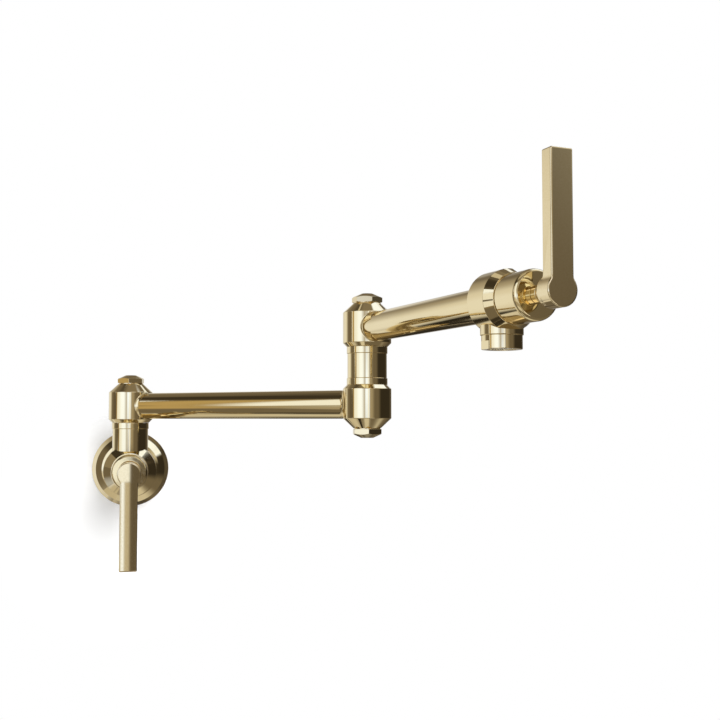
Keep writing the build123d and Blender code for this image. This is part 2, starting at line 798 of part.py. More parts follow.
with BuildPart() as aerator_housing:
    lower_rim = (aerator_radius, aerator_drop)
    turn(spout, sleeve(0, aerator_radius, nipple_drop, aerator_drop))
    fillet(rims(aerator_housing, spout, lower_rim), edge_round)
    bore(spout, nipple_thread_radius, nipple_drop - cut_margin, insert_bottom)
    bore(spout, aerator_lip_radius, nipple_drop, aerator_drop + cut_margin)
    with BuildSketch(spout.offset(aerator_drop - wrench_flat_height)):
        flat_place = aerator_radius - wrench_flat_depth + wrench_cutter / 2
        with Locations((flat_place, 0), (-flat_place, 0)):
            Rectangle(wrench_cutter, 2 * aerator_radius)
    extrude(amount=wrench_flat_height, mode=Mode.SUBTRACT)
finish(aerator_housing.part, "aerator_housing")
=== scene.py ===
"""Looks of the wall mounted pot filler: two swivelling arms and a quarter turn valve at either end.

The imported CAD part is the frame.  Each sub-assembly is a class that holds its sizes in millimetres,
draws its pieces in the part's own axes and dresses them.  The part's joints say where each lies.
"""

import json
import logging
import math
from collections.abc import Callable, Iterable, Sequence
from dataclasses import dataclass
from enum import Enum
from typing import ClassVar

import bmesh
import bpy
from mathutils import Matrix, Vector

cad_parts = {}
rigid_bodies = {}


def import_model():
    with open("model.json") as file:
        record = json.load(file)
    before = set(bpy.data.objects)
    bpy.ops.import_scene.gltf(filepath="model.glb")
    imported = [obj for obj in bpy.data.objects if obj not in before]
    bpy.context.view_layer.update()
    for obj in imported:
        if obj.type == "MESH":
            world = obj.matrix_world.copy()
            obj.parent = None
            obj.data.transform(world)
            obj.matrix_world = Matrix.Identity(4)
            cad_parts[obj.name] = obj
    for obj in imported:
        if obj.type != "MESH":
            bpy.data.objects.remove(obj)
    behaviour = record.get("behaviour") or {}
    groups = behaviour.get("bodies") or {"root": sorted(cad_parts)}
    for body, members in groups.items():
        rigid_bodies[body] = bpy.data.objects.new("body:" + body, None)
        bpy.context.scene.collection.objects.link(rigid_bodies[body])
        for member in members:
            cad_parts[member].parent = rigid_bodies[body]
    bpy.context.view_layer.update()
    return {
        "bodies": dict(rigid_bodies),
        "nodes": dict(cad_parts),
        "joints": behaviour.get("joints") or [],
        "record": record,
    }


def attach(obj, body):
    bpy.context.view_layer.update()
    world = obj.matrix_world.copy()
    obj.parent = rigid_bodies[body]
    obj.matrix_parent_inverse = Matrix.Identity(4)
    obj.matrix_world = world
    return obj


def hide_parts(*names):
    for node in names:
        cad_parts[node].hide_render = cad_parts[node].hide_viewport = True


log = logging.getLogger("pot_filler")

MM = 0.001
FULL_TURN = 2 * math.pi
SIXTH_TURN = math.pi / 3
QUARTER_TURN = math.pi / 2
SHARP_EDGE = math.radians(33)
MERGE_WITHIN = 1e-7  # metres
ON_AXIS = 1e-4  # radius below which an outline touches its axis
ROUNDED_SHARE = 0.48  # of a side that one rounding may take
HOLE_STEPS = 24
EDGE = 0.3  # usual rounding of a turned edge
FINE_EDGE = 0.2
RISER_FOOT = 15.8  # height at which the riser stands on the inlet's body

Point = tuple[float, float]
Place = tuple[float, float, float]
Colour = tuple[float, float, float]
Outline = Sequence[tuple[float, ...]]  # radius, height and, where it is eased, how far
Piece = bpy.types.Object
Material = bpy.types.Material
Mesh = bmesh.types.BMesh
Node = bpy.types.Node
Socket = bpy.types.NodeSocket


class Body(Enum):
    """Bodies of the part that a piece can ride on."""

    WALL = "wall_side"
    INLET_HANDLE = "inlet_handle"
    ARM_1 = "arm_1"
    ARM_2 = "arm_2"
    OUTLET_HANDLE = "outlet_handle"


class Slot(Enum):
    """Material slots of the record."""

    POLISHED = "polished_brass"
    LEVER = "lever_brass"
    PLAIN = "plain_brass"
    RUBBER = "black_rubber"
    BEARING = "white_bearing_plastic"
    CERAMIC = "white_ceramic"
    STEEL = "stainless_steel"
    AERATOR = "aerator_plastic"


class CornerTurn(Enum):
    """Where one corner of a hexagon points, in degrees about its hub."""

    HUB_1 = 21.9
    HUB_2 = 37.1
    ELBOW_NUT = -24.4


# ---------------------------------------------------------------- frames


@dataclass(frozen=True)
class Frame:
    """Right-handed frame in millimetres; turned pieces are drawn about its z axis."""

    origin: Vector
    x: Vector
    z: Vector

    @property
    def y(self) -> Vector:
        """Third axis of the frame."""
        return self.z.cross(self.x)

    def at(self, x: float, y: float, z: float) -> Vector:
        """Point of the frame, in metres of the scene."""
        return (self.origin + self.x * x + self.y * y + self.z * z) * MM

    def polar(self, radius: float, angle: float, height: float) -> Vector:
        """Point at a radius and an angle about the z axis, in metres of the scene."""
        return self.at(radius * math.cos(angle), radius * math.sin(angle), height)


class Layout:
    """Frames of the sub-assemblies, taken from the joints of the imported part."""

    def __init__(self, joints: Iterable[dict]) -> None:
        """Read the joints.

        Args:
            joints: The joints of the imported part, with their places in metres.
        """
        place = {j["name"]: Vector(j["pos_m"]) / MM for j in joints}
        way = {j["name"]: Vector(j["axis"]) for j in joints}
        along_wall, up = Vector((1, 0, 0)), way["riser_swivel"]
        out, second = way["inlet_valve_turn"], way["outlet_valve_turn"]
        hub_1, hub_2 = place["riser_swivel"], place["elbow_swivel"]
        inlet, outlet = place["inlet_valve_turn"], place["outlet_valve_turn"]
        elbow = Vector((hub_2.x, hub_2.y, hub_1.z))
        first = (elbow - hub_1).normalized()
        self.wall = Frame(Vector(), along_wall, out)
        self.inlet = Frame(inlet, along_wall, out)
        self.hub_1 = Frame(hub_1, along_wall, up)
        self.arm_1 = Frame(hub_1, up, first)
        self.arm_1_tip = Frame(elbow, up, first)
        self.arm_1_length = (elbow - hub_1).length
        self.elbow = Frame(elbow, along_wall, up)
        self.elbow_under = Frame(elbow, along_wall, -up)
        self.hub_2 = Frame(hub_2, along_wall, up)
        self.arm_2 = Frame(hub_2, up, second)
        self.arm_2_length = (outlet - hub_2).length
        self.outlet = Frame(outlet, up.cross(second), second)
        self.spout = Frame(outlet, up.cross(second), -up)


# ---------------------------------------------------------------- lines


@dataclass(frozen=True)
class Corner:
    """Corner of a turned outline: radius and height, with how far it is eased."""

    radius: float
    height: float
    ease: float = 0.0

    @property
    def point(self) -> Vector:
        """Place of the corner."""
        return Vector((self.radius, self.height))


def eased(outline: Outline, steps: int = 5, hold: float = 0.07) -> list[Point]:
    """Round the corners of a closed outline and hold the flats beside them.

    Args:
        outline: Corners in order, counter-clockwise or not.
        steps: Segments in each rounding.
        hold: Distance from a rounding to the point that keeps the flat beside it true.

    Returns:
        Points of the outline as (radius, height).
    """
    corners = [Corner(*row) for row in outline]
    points: list[Point] = []
    for index, corner in enumerate(corners):
        here = corner.point
        if corner.ease <= 0:
            points.append(tuple(here))
            continue
        back = corners[index - 1].point - here
        ahead = corners[(index + 1) % len(corners)].point - here
        opening = back.angle(ahead)
        reach = corner.ease / math.tan(opening / 2)
        room = ROUNDED_SHARE * min(back.length, ahead.length)
        ease = corner.ease * min(1.0, room / reach)
        reach = min(reach, room)
        back.normalize()
        ahead.normalize()
        centre = here + (back + ahead).normalized() * (ease / math.sin(opening / 2))
        start, end = here + back * reach - centre, here + ahead * reach - centre
        sweep = start.angle_signed(end)
        held = reach + hold < room
        if held:
            points.append(tuple(here + back * (reach + hold)))
        for step in range(steps + 1):
            points.append(tuple(centre + Matrix.Rotation(-sweep * step / steps, 2) @ start))
        if held:
            points.append(tuple(here + ahead * (reach + hold)))
    return points


def angles(steps: int) -> list[float]:
    """Evenly spaced angles of a full turn."""
    return [FULL_TURN * k / steps for k in range(steps)]


def bend(start: Vector, corner: Vector, end: Vector, steps: int) -> list[Vector]:
    """Points of a quadratic curve that is drawn towards a corner.

    Args:
        start: First point.
        corner: Corner that the curve rounds.
        end: Last point.
        steps: Segments of the curve.

    Returns:
        The points, both ends included.
    """
    shares = (k / steps for k in range(steps + 1))
    return [start * (1 - t) ** 2 + corner * 2 * t * (1 - t) + end * t**2 for t in shares]


def hexagon_reach(radius: float, angle: float) -> float:
    """Distance from the axis of a hexagon to its side, at an angle from a corner."""
    middle = SIXTH_TURN / 2
    return radius * math.cos(middle) / math.cos(angle % SIXTH_TURN - middle)


# ---------------------------------------------------------------- meshes


def object_from(name: str, mesh: Mesh) -> Piece:
    """Close a working mesh into an object at the origin.

    Args:
        name: Name of the piece.
        mesh: Working mesh, in metres; it is freed.

    Returns:
        The new object, linked to the scene, smooth up to its sharp edges.
    """
    bmesh.ops.remove_doubles(mesh, verts=mesh.verts, dist=MERGE_WITHIN)
    bmesh.ops.recalc_face_normals(mesh, faces=mesh.faces)
    data = bpy.data.meshes.new(name)
    mesh.to_mesh(data)
    mesh.free()
    data.shade_smooth()
    data.set_sharp_from_angle(angle=SHARP_EDGE)
    piece = bpy.data.objects.new(name, data)
    bpy.context.scene.collection.objects.link(piece)
    return piece


def bridge(mesh: Mesh, rings: Sequence[Sequence[bmesh.types.BMVert]], closed: bool) -> None:
    """Join rings of vertices with faces; a ring of one vertex is a pole.

    Args:
        mesh: Working mesh.
        rings: Rings in order along the outline.
        closed: Whether the last ring joins the first.
    """
    pairs = list(zip(rings, rings[1:]))
    if closed:
        pairs.append((rings[-1], rings[0]))
    for low, high in pairs:
        count = max(len(low), len(high))
        if count == 1:
            continue
        for k in range(count):
            n = (k + 1) % count
            corners = [low[k % len(low)], low[n % len(low)]]
            corners += [high[n % len(high)], high[k % len(high)]]
            mesh.faces.new(list(dict.fromkeys(corners)))


def spin(mesh: Mesh, frame: Frame, outline: Outline, steps: int) -> None:
    """Add a closed outline turned about a frame's z axis to a working mesh.

    Args:
        mesh: Working mesh.
        frame: Frame of the outline.
        outline: Corners of the outline.
        steps: Faces round the piece.
    """
    rings = []
    for radius, height in eased(outline):
        if radius < ON_AXIS:
            rings.append([mesh.verts.new(frame.at(0, 0, height))])
        else:
            spots = [frame.polar(radius, angle, height) for angle in angles(steps)]
            rings.append([mesh.verts.new(spot) for spot in spots])
    bridge(mesh, rings, closed=True)


def turned(name: str, frame: Frame, outline: Outline, steps: int = 160) -> Piece:
    """Turn a closed outline about a frame's z axis.

    Args:
        name: Name of the piece.
        frame: Frame of the outline.
        outline: Corners of the outline.
        steps: Faces round the piece.

    Returns:
        The turned piece.
    """
    mesh = bmesh.new()
    spin(mesh, frame, outline, steps)
    return object_from(name, mesh)


def sleeve(inner: float, outer: float, start: float, end: float, ease: float = 0.0) -> Outline:
    """Outline of a plain ring, eased on its outer corners."""
    return [(inner, start), (outer, start, ease), (outer, end, ease), (inner, end)]


def prism(frame: Frame, loop: Sequence[Point], start: float, end: float) -> Piece:
    """Make a straight prism, to cut with.

    Args:
        frame: Frame whose z axis the prism follows.
        loop: Closed outline in the frame's x and y.
        start: Height of the first end.
        end: Height of the second end.

    Returns:
        The prism.
    """
    mesh = bmesh.new()
    low, high = ([mesh.verts.new(frame.at(x, y, z)) for x, y in loop] for z in (start, end))
    bridge(mesh, [low, high], closed=False)
    mesh.faces.new(low)
    mesh.faces.new(list(reversed(high)))
    return object_from("cutter", mesh)


def bake(piece: Piece) -> None:
    """Turn a piece's modifiers into its plain mesh.

    Args:
        piece: Piece whose modifiers are removed.
    """
    graph = bpy.context.evaluated_depsgraph_get()
    done = bpy.data.meshes.new_from_object(piece.evaluated_get(graph), depsgraph=graph)
    old = piece.data
    piece.modifiers.clear()
    piece.data = done
    done.name = piece.name
    if old.users == 0:
        bpy.data.meshes.remove(old)


def ease_edges(piece: Piece, width: float, limit: float, segments: int) -> None:
    """Round the edges of a piece that turn by more than a limit, and keep its flats true.

    Args:
        piece: Piece to finish.
        width: Width of the rounding, in millimetres.
        limit: Least angle that is rounded, in degrees.
        segments: Faces across each rounding.
    """
    bevel = piece.modifiers.new("ease", "BEVEL")
    bevel.width, bevel.segments = width * MM, segments
    bevel.limit_method, bevel.angle_limit = "ANGLE", math.radians(limit)
    bevel.harden_normals = False
    bake(piece)
    weighted = piece.modifiers.new("flats", "WEIGHTED_NORMAL")
    weighted.keep_sharp = True
    bake(piece)


def cut(piece: Piece, cutter: Piece, sharp: float = SHARP_EDGE) -> None:
    """Take one solid out of a piece and remove the cutter.

    Args:
        piece: Piece to cut.
        cutter: Solid that is taken out.
        sharp: Least angle of an edge that then shades as a sharp one.
    """
    change = piece.modifiers.new("cut", "BOOLEAN")
    change.operation, change.solver, change.object = "DIFFERENCE", "EXACT", cutter
    change.use_self = True
    bake(piece)
    piece.data.set_sharp_from_angle(angle=sharp)
    data = cutter.data
    bpy.data.objects.remove(cutter)
    bpy.data.meshes.remove(data)


def drill(piece: Piece, frame: Frame, radius: float, start: float, end: float) -> None:
    """Drill a round hole into a piece.

    Args:
        piece: Piece to drill.
        frame: Frame whose z axis the drill follows.
        radius: Radius of the hole.
        start: Height of one end of the hole.
        end: Height of the other end.
    """
    loop = [(radius * math.cos(angle), radius * math.sin(angle)) for angle in angles(HOLE_STEPS)]
    cut(piece, prism(frame, loop, start, end))


# ---------------------------------------------------------------- nodes


class Number:
    """Number carried by a socket; arithmetic on it adds Math nodes."""

    def __init__(self, graph: "Graph", socket: Socket) -> None:
        """Wrap a socket of a graph."""
        self.graph = graph
        self.socket = socket

    def math(self, operation: str, *others: "Number | float") -> "Number":
        """Apply one Math operation, with this number first."""
        values = dict(enumerate((self, *others)))
        made = self.graph.node("ShaderNodeMath", values, operation=operation)
        return Number(self.graph, made.outputs[0])

    def __add__(self, other: "Number | float") -> "Number":
        """Sum."""
        return self.math("ADD", other)

    def __mul__(self, other: "Number | float") -> "Number":
        """Product."""
        return self.math("MULTIPLY", other)

    def __sub__(self, other: "Number | float") -> "Number":
        """Difference."""
        return self.math("SUBTRACT", other)

    def __truediv__(self, other: "Number | float") -> "Number":
        """Quotient."""
        return self.math("DIVIDE", other)

    def step_between(
        self, low: float, high: float, start: float = 0.0, end: float = 1.0
    ) -> "Number":
        """Map this number smoothly from one range to another.

        Args:
            low: Value from which the result rises.
            high: Value at which it ends.
            start: Result up to the first value.
            end: Result from the second value on.

        Returns:
            The mapped number.
        """
        values = {"Value": self, "From Min": low, "From Max": high, "To Min": start, "To Max": end}
        made = self.graph.node("ShaderNodeMapRange", values, interpolation_type="SMOOTHSTEP")
        return Number(self.graph, made.outputs[0])


class Graph:
    """Adds nodes to a tree and joins their sockets."""

    MIX_SHARE, MIX_FIRST, MIX_SECOND, MIX_RESULT = 0, 6, 7, 2

    def __init__(self, tree: bpy.types.NodeTree) -> None:
        """Start on a tree, emptied of its nodes."""
        self.tree = tree
        tree.nodes.clear()

    def node(
        self, kind: str, inputs: dict[str | int, object] | None = None, **settings: object
    ) -> Node:
        """Add a node.

        Args:
            kind: Type name of the node.
            inputs: Values or links by socket name or number.
            settings: Attributes, set before the sockets.

        Returns:
            The new node.
        """
        made = self.tree.nodes.new(kind)
        for name, value in settings.items():
            setattr(made, name, value)
        for key, value in (inputs or {}).items():
            self.feed(made.inputs[key], value)
        return made

    def feed(self, socket: Socket, value: object) -> None:
        """Give a socket a value or a link.

        Args:
            socket: Socket to feed.
            value: Plain value, or a number, a node or another socket to link from.
        """
        if isinstance(value, Number):
            value = value.socket
        elif isinstance(value, Node):
            value = next(s for s in value.outputs if s.enabled)
        if isinstance(value, bpy.types.NodeSocket):
            self.tree.links.new(value, socket)
        else:
            socket.default_value = value

    def noise(self, place: object, scale: float, detail: float, roughness: float = 0.5) -> Number:
        """Noise at a place, in cycles per metre on object coordinates."""
        inputs = {"Vector": place, "Scale": scale, "Detail": detail, "Roughness": roughness}
        return Number(self, self.node("ShaderNodeTexNoise", inputs).outputs["Fac"])

    def blend(self, share: object, first: object, second: object) -> Socket:
        """Mix two colours.

        Args:
            share: Share of the second colour.
            first: First colour.
            second: Second colour.

        Returns:
            The socket of the mixed colour.
        """
        values = {self.MIX_SHARE: share, self.MIX_FIRST: first, self.MIX_SECOND: second}
        return self.node("ShaderNodeMix", values, data_type="RGBA").outputs[self.MIX_RESULT]

    def shown(self) -> Number:
        """Tell rays that show the backdrop, straight or by way of metal or glass, from light.

        Returns:
            1 for a ray that shows the backdrop and 0 for light.
        """
        path = self.node("ShaderNodeLightPath").outputs
        kinds = ("Is Camera Ray", "Is Glossy Ray", "Is Transmission Ray")
        camera, glossy, through = (Number(self, path[kind]) for kind in kinds)
        return camera.math("MAXIMUM", glossy).math("MAXIMUM", through)


def opaque(colour: Colour) -> tuple[float, float, float, float]:
    """Colour with full alpha."""
    return (*colour, 1.0)


class Pattern:
    """Geometry node tree with named sizes, which leaves one plain mesh."""

    def __init__(self, name: str, sizes: dict[str, float | int]) -> None:
        """Start a tree.

        Args:
            name: Name of the tree.
            sizes: Named inputs with their values, in millimetres or as counts.
        """
        self.tree = bpy.data.node_groups.new(name, "GeometryNodeTree")
        self.graph = Graph(self.tree)
        self.sizes = sizes
        self.identifiers: dict[str, str] = {}
        for key, value in sizes.items():
            kind = "NodeSocketInt" if isinstance(value, int) else "NodeSocketFloat"
            self.add_input(key, kind)
        self.add_input("Surface", "NodeSocketMaterial")
        interface = self.tree.interface
        interface.new_socket("Geometry", in_out="OUTPUT", socket_type="NodeSocketGeometry")
        self.source = self.graph.node("NodeGroupInput")

    def add_input(self, key: str, kind: str) -> None:
        """Add a named input and note its identifier."""
        socket = self.tree.interface.new_socket(key, in_out="INPUT", socket_type=kind)
        self.identifiers[key] = socket.identifier

    def size(self, key: str) -> Number:
        """One of the named inputs."""
        return Number(self.graph, self.source.outputs[key])

    def made(self, shape: object, name: str, frame: Frame, surface: Material) -> Piece:
        """End the tree and turn its result into a plain piece.

        Args:
            shape: Node whose geometry is the piece.
            name: Name of the piece.
            frame: Frame in which the tree draws.
            surface: Material of the piece.

        Returns:
            The piece, with its place in its mesh.
        """
        real = self.graph.node("GeometryNodeRealizeInstances", {0: shape})
        dressed = self.graph.node("GeometryNodeSetMaterial", {"Geometry": real})
        self.graph.feed(dressed.inputs["Material"], self.source.outputs["Surface"])
        self.graph.node("NodeGroupOutput", {0: dressed})
        piece = bpy.data.objects.new(name, bpy.data.meshes.new(name))
        bpy.context.scene.collection.objects.link(piece)
        change = piece.modifiers.new("pattern", "NODES")
        change.node_group = self.tree
        for key, value in self.sizes.items():
            change[self.identifiers[key]] = value
        change[self.identifiers["Surface"]] = surface
        bake(piece)
        turn = Matrix((frame.x, frame.y, frame.z)).transposed().to_4x4()
        piece.data.transform(Matrix.Translation(frame.origin * MM) @ turn @ Matrix.Scale(MM, 4))
        mesh = bmesh.new()
        mesh.from_mesh(piece.data)
        bmesh.ops.recalc_face_normals(mesh, faces=mesh.faces)
        mesh.to_mesh(piece.data)
        mesh.free()
        return piece


# ---------------------------------------------------------------- finishes


class Surface:
    """Look of a material."""

    def draw(self, graph: Graph, place: Socket) -> Node:
        """Add the nodes of the look.

        Args:
            graph: Graph of the material.
            place: Object coordinates.

        Returns:
            The node of the surface.
        """
        raise NotImplementedError

    def material(self, name: str) -> Material:
        """Make a material of this look.

        Args:
            name: Name of the material.

        Returns:
            The material, with its nodes on object coordinates.
        """
        made = bpy.data.materials.new(name)
        made.use_nodes = True
        graph = Graph(made.node_tree)
        surface = self.draw(graph, graph.node("ShaderNodeTexCoord").outputs["Object"])
        graph.node("ShaderNodeOutputMaterial", {"Surface": surface})
        return made


@dataclass(frozen=True)
class Finish(Surface):
    """One surface finish: a base colour with a second tone, its gloss and its fine relief."""

    colour: Colour
    tone: Colour
    metallic: float
    roughness: float
    roughness_spread: float = 0.0
    least_roughness: float = 0.02
    tone_scale: float = 30.0
    tone_span: Point = (0.35, 0.7)
    smear_scale: float = 9.0
    smear_span: Point = (0.3, 0.75)
    relief: float = 0.0
    relief_scale: float = 400.0
    grain: float = 0.0
    grain_scale: float = 2500.0
    coat: float = 0.0
    ior: float = 1.5

    def draw(self, graph: Graph, place: Socket) -> Node:
        """Add the nodes of the finish.

        Args:
            graph: Graph of the material.
            place: Object coordinates.

        Returns:
            The node of the surface.
        """
        tone = graph.noise(place, self.tone_scale, detail=3.0)
        smear = graph.noise(place, self.tone_scale * self.smear_scale, detail=4.0)
        share = tone.step_between(*self.tone_span)
        spread = (smear.step_between(*self.smear_span) - 0.5) * self.roughness_spread
        inputs = {
            "Base Color": graph.blend(share, opaque(self.colour), opaque(self.tone)),
            "Metallic": self.metallic,
            "Roughness": (spread + self.roughness).math("MAXIMUM", self.least_roughness),
            "IOR": self.ior,
            "Coat Weight": self.coat,
        }
        if self.relief or self.grain:
            grain = graph.noise(place, self.grain_scale, detail=3.0, roughness=0.6) * self.grain
            height = graph.noise(place, self.relief_scale, detail=2.0) * self.relief + grain
            bump = {"Strength": 1.0, "Distance": MM, "Height": height}
            inputs["Normal"] = graph.node("ShaderNodeBump", bump)
        return graph.node("ShaderNodeBsdfPrincipled", inputs)


FINISHES: dict[Slot, Finish] = {
    Slot.POLISHED: Finish(
        (0.88, 0.727, 0.42), (0.87, 0.717, 0.405), 1.0, 0.05, roughness_spread=0.03, relief=0.002
    ),
    Slot.LEVER: Finish((0.89, 0.74, 0.45), (0.85, 0.7, 0.41), 1.0, 0.02, tone_scale=900.0),
    Slot.PLAIN: Finish(
        (0.78, 0.62, 0.34), (0.74, 0.56, 0.28), 1.0, 0.28, roughness_spread=0.1, grain=0.004
    ),
    Slot.RUBBER: Finish(
        (0.03, 0.03, 0.032), (0.045, 0.045, 0.045), 0.0, 0.62, roughness_spread=0.1, grain=0.01
    ),
    Slot.BEARING: Finish(
        (0.86, 0.86, 0.83), (0.82, 0.81, 0.77), 0.0, 0.4, roughness_spread=0.1, grain=0.004
    ),
    Slot.CERAMIC: Finish(
        (0.9, 0.89, 0.86), (0.87, 0.86, 0.82), 0.0, 0.12, roughness_spread=0.04, coat=0.4
    ),
    Slot.STEEL: Finish(
        (0.6, 0.6, 0.6), (0.55, 0.55, 0.56), 1.0, 0.22, roughness_spread=0.08, grain=0.003
    ),
    Slot.AERATOR: Finish(
        (0.72, 0.73, 0.74), (0.68, 0.69, 0.7), 0.0, 0.35, roughness_spread=0.1, grain=0.004
    ),
}


# ---------------------------------------------------------------- sub-assemblies


@dataclass
class Assembly:
    """Part of the tap, drawn about its own frame and carried by one body."""

    materials: dict[Slot, Material]
    frame: Frame
    name: str
    body: Body

    def build(self) -> None:
        """Draw the pieces."""
        raise NotImplementedError

    def place(self, piece: Piece, node: str = "", slot: Slot = Slot.POLISHED) -> None:
        """Finish a piece and let it ride.

        Args:
            piece: The piece, with its place in its mesh.
            node: CAD node that it stands for, if any.
            slot: Material slot of its finish.
        """
        piece.data.materials.clear()
        piece.data.materials.append(self.materials[slot])
        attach(piece, self.body.value)
        if node:
            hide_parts(node)
        log.info("%s rides on %s: %d faces", piece.name, self.body.value, len(piece.data.polygons))


class Turning(Assembly):
    """Sub-assembly whose main piece is turned about its frame's z axis."""

    slot: ClassVar[Slot] = Slot.POLISHED
    work: ClassVar[str] = "turned"

    def outline(self) -> Outline:
        """Corners of the piece, in order."""
        raise NotImplementedError

    def mill(self, piece: Piece) -> None:
        """Cut the turned piece, where it needs that."""

    def build(self) -> None:
        """Draw the piece."""
        piece = turned(f"{self.name}_{self.work}", self.frame, self.outline())
        self.mill(piece)
        self.place(piece, self.name, self.slot)


@dataclass
class WallFlange(Turning):
    """Hollow wall flange that slides over the body of the inlet valve."""

    work: ClassVar[str] = "spun"
    rim_radius: float = 38.2
    rim_height: float = 1.5
    step: Point = (34.2, 10.5)
    brow: Point = (28.2, 18.5)
    lip: Point = (25.7, 19.8)
    bore: float = 25.3
    bore_ease: float = 0.1
    wall: float = 2.2
    neck_radius: float = 27.4
    neck_start: float = 12.0
    screw_height: float = 15.0
    screw_radius: float = 2.0
    ease: float = 0.6

    def outline(self) -> Outline:
        """Outline of the flange.

        Returns:
            The corners in order, as radius, height and ease.
        """
        inside = self.rim_radius - self.wall
        return [
            (self.rim_radius, 0, FINE_EDGE),
            (self.rim_radius, self.rim_height, self.ease),
            (*self.step, self.ease),
            (*self.brow, self.ease),
            (*self.lip, EDGE),
            (self.bore, self.lip[1], self.bore_ease),
            (self.bore, self.neck_start),
            (self.neck_radius, self.neck_start),
            (self.neck_radius, self.brow[1] - self.wall),
            (self.step[0] - self.wall, self.step[1]),
            (inside, self.rim_height),
            (inside, 0, FINE_EDGE),
        ]

    def mill(self, piece: Piece) -> None:
        """Drill the hole of the set screw from below."""
        below = Frame(self.frame.z * self.screw_height, self.frame.x, -self.frame.y)
        drill(piece, below, self.screw_radius, self.bore - self.wall, self.rim_radius)


@dataclass
class InletBody(Turning):
    """Body of the inlet valve: a socket behind, the cartridge's chamber and a coned nose."""

    radius: float = 25.2
    back: float = -36.0
    back_ease: float = EDGE
    rim: float = 9.9
    nose: Point = (17.6, 19.0)
    thread: float = 14.5
    shoulder: float = 12.0
    chamber: float = 10.1
    seat: float = -6.0
    passage: float = 7.5
    socket: Point = (13.0, -24.0)
    ease: float = 0.6

    def outline(self) -> Outline:
        """Outline of the valve's body.

        Returns:
            The corners in order, as radius, height and ease.
        """
        return [
            (self.socket[0], self.back),
            (self.radius, self.back, self.back_ease),
            (self.radius, self.rim, self.ease),
            (*self.nose, EDGE),
            (self.thread, self.nose[1]),
            (self.thread, self.shoulder),
            (self.chamber, self.shoulder),
            (self.chamber, self.seat),
            (self.passage, self.seat),
            (self.passage, self.socket[1]),
            self.socket,
        ]


@dataclass
class OutletBody(InletBody):
    """Body of the outlet valve, with the second arm's tube in its socket."""

    radius: float = 21.1
    back: float = -10.2
    back_ease: float = 0.6
    rim: float = 11.4
    passage: float = 5.0
    socket: Point = (12.5, -8.0)


@dataclass
class InletShank(Turning):
    """Shank with a spanner hexagon and the thread that screws onto the pipe in the wall."""

    slot: ClassVar[Slot] = Slot.PLAIN
    radius: float = 13.0
    end: float = 28.6
    hexagon_radius: float = 16.6
    hexagon_ends: Point = (5.0, 16.6)
    hexagon_bore: float = 11.6
    corner: float = 0.7
    root_radius: float = 10.4
    depth: float = 16.0
    passage: float = 7.5
    pitch: float = 1.814
    ridge_sink: float = 0.35
    ridge_points: int = 64
    steps: int = 144

    def hexagon(self) -> Piece:
        """Make the spanner hexagon, with its corners turned back at both ends.

        Returns:
            The hexagon.
        """
        mesh = bmesh.new()
        start, end = self.hexagon_ends
        levels = [
            (start, 0.0, self.hexagon_bore),
            (start, self.corner, None),
            (start + self.corner, 0.0, None),
            (end - self.corner, 0.0, None),
            (end, self.corner, None),
            (end, 0.0, self.hexagon_bore),
        ]
        rings = []
        for height, inset, bore in levels:
            ring = []
            for angle in angles(self.steps):
                flat = hexagon_reach(self.hexagon_radius, angle)
                radius = bore or min(flat, self.hexagon_radius - inset)
                ring.append(mesh.verts.new(self.frame.polar(radius, angle, height)))
            rings.append(ring)
        bridge(mesh, rings, closed=True)
        return object_from(f"{self.name}_hexagon", mesh)

    def thread(self) -> Piece:
        """Make the helical ridge of the thread, swept along a spiral.

        Returns:
            The ridge.
        """
        sizes = {
            "Turns": (self.depth - self.pitch) / self.pitch,
            "Radius": self.root_radius - self.ridge_sink,
            "Pitch": self.pitch,
            "Points": self.ridge_points,
        }
        pattern = Pattern("pipe_thread", sizes)
        graph, pitch = pattern.graph, pattern.size("Pitch")
        turns, radius = pattern.size("Turns"), pattern.size("Radius")
        spiral = {
            "Resolution": pattern.size("Points"),
            "Rotations": turns,
            "Height": turns * pitch,
            "Start Radius": radius,
            "End Radius": radius,
        }
        path = graph.node("GeometryNodeCurveSpiral", spiral)
        section = {"Resolution": 3, "Radius": pitch * 0.5}
        ridge = graph.node("GeometryNodeCurvePrimitiveCircle", section)
        sweep = {"Curve": path, "Profile Curve": ridge, "Fill Caps": True}
        swept = graph.node("GeometryNodeCurveToMesh", sweep)
        lift = {"Geometry": swept, "Translation": (0, 0, self.pitch / 2)}
        lifted = graph.node("GeometryNodeTransform", lift)
        return pattern.made(lifted, "inlet_thread_ridge", self.frame, self.materials[self.slot])

    def outline(self) -> Outline:
        """Outline of the shank.

        Returns:
            The corners in order, as radius, height and ease.
        """
        return [
            (self.root_radius, 0),
            (self.radius, 0, EDGE),
            (self.radius, self.end, EDGE),
            (self.passage, self.end),
            (self.passage, self.depth),
            (self.root_radius, self.depth),
        ]

    def build(self) -> None:
        """Draw the shank, its hexagon and its thread."""
        super().build()
        for piece in (self.hexagon(), self.thread()):
            self.place(piece, slot=self.slot)


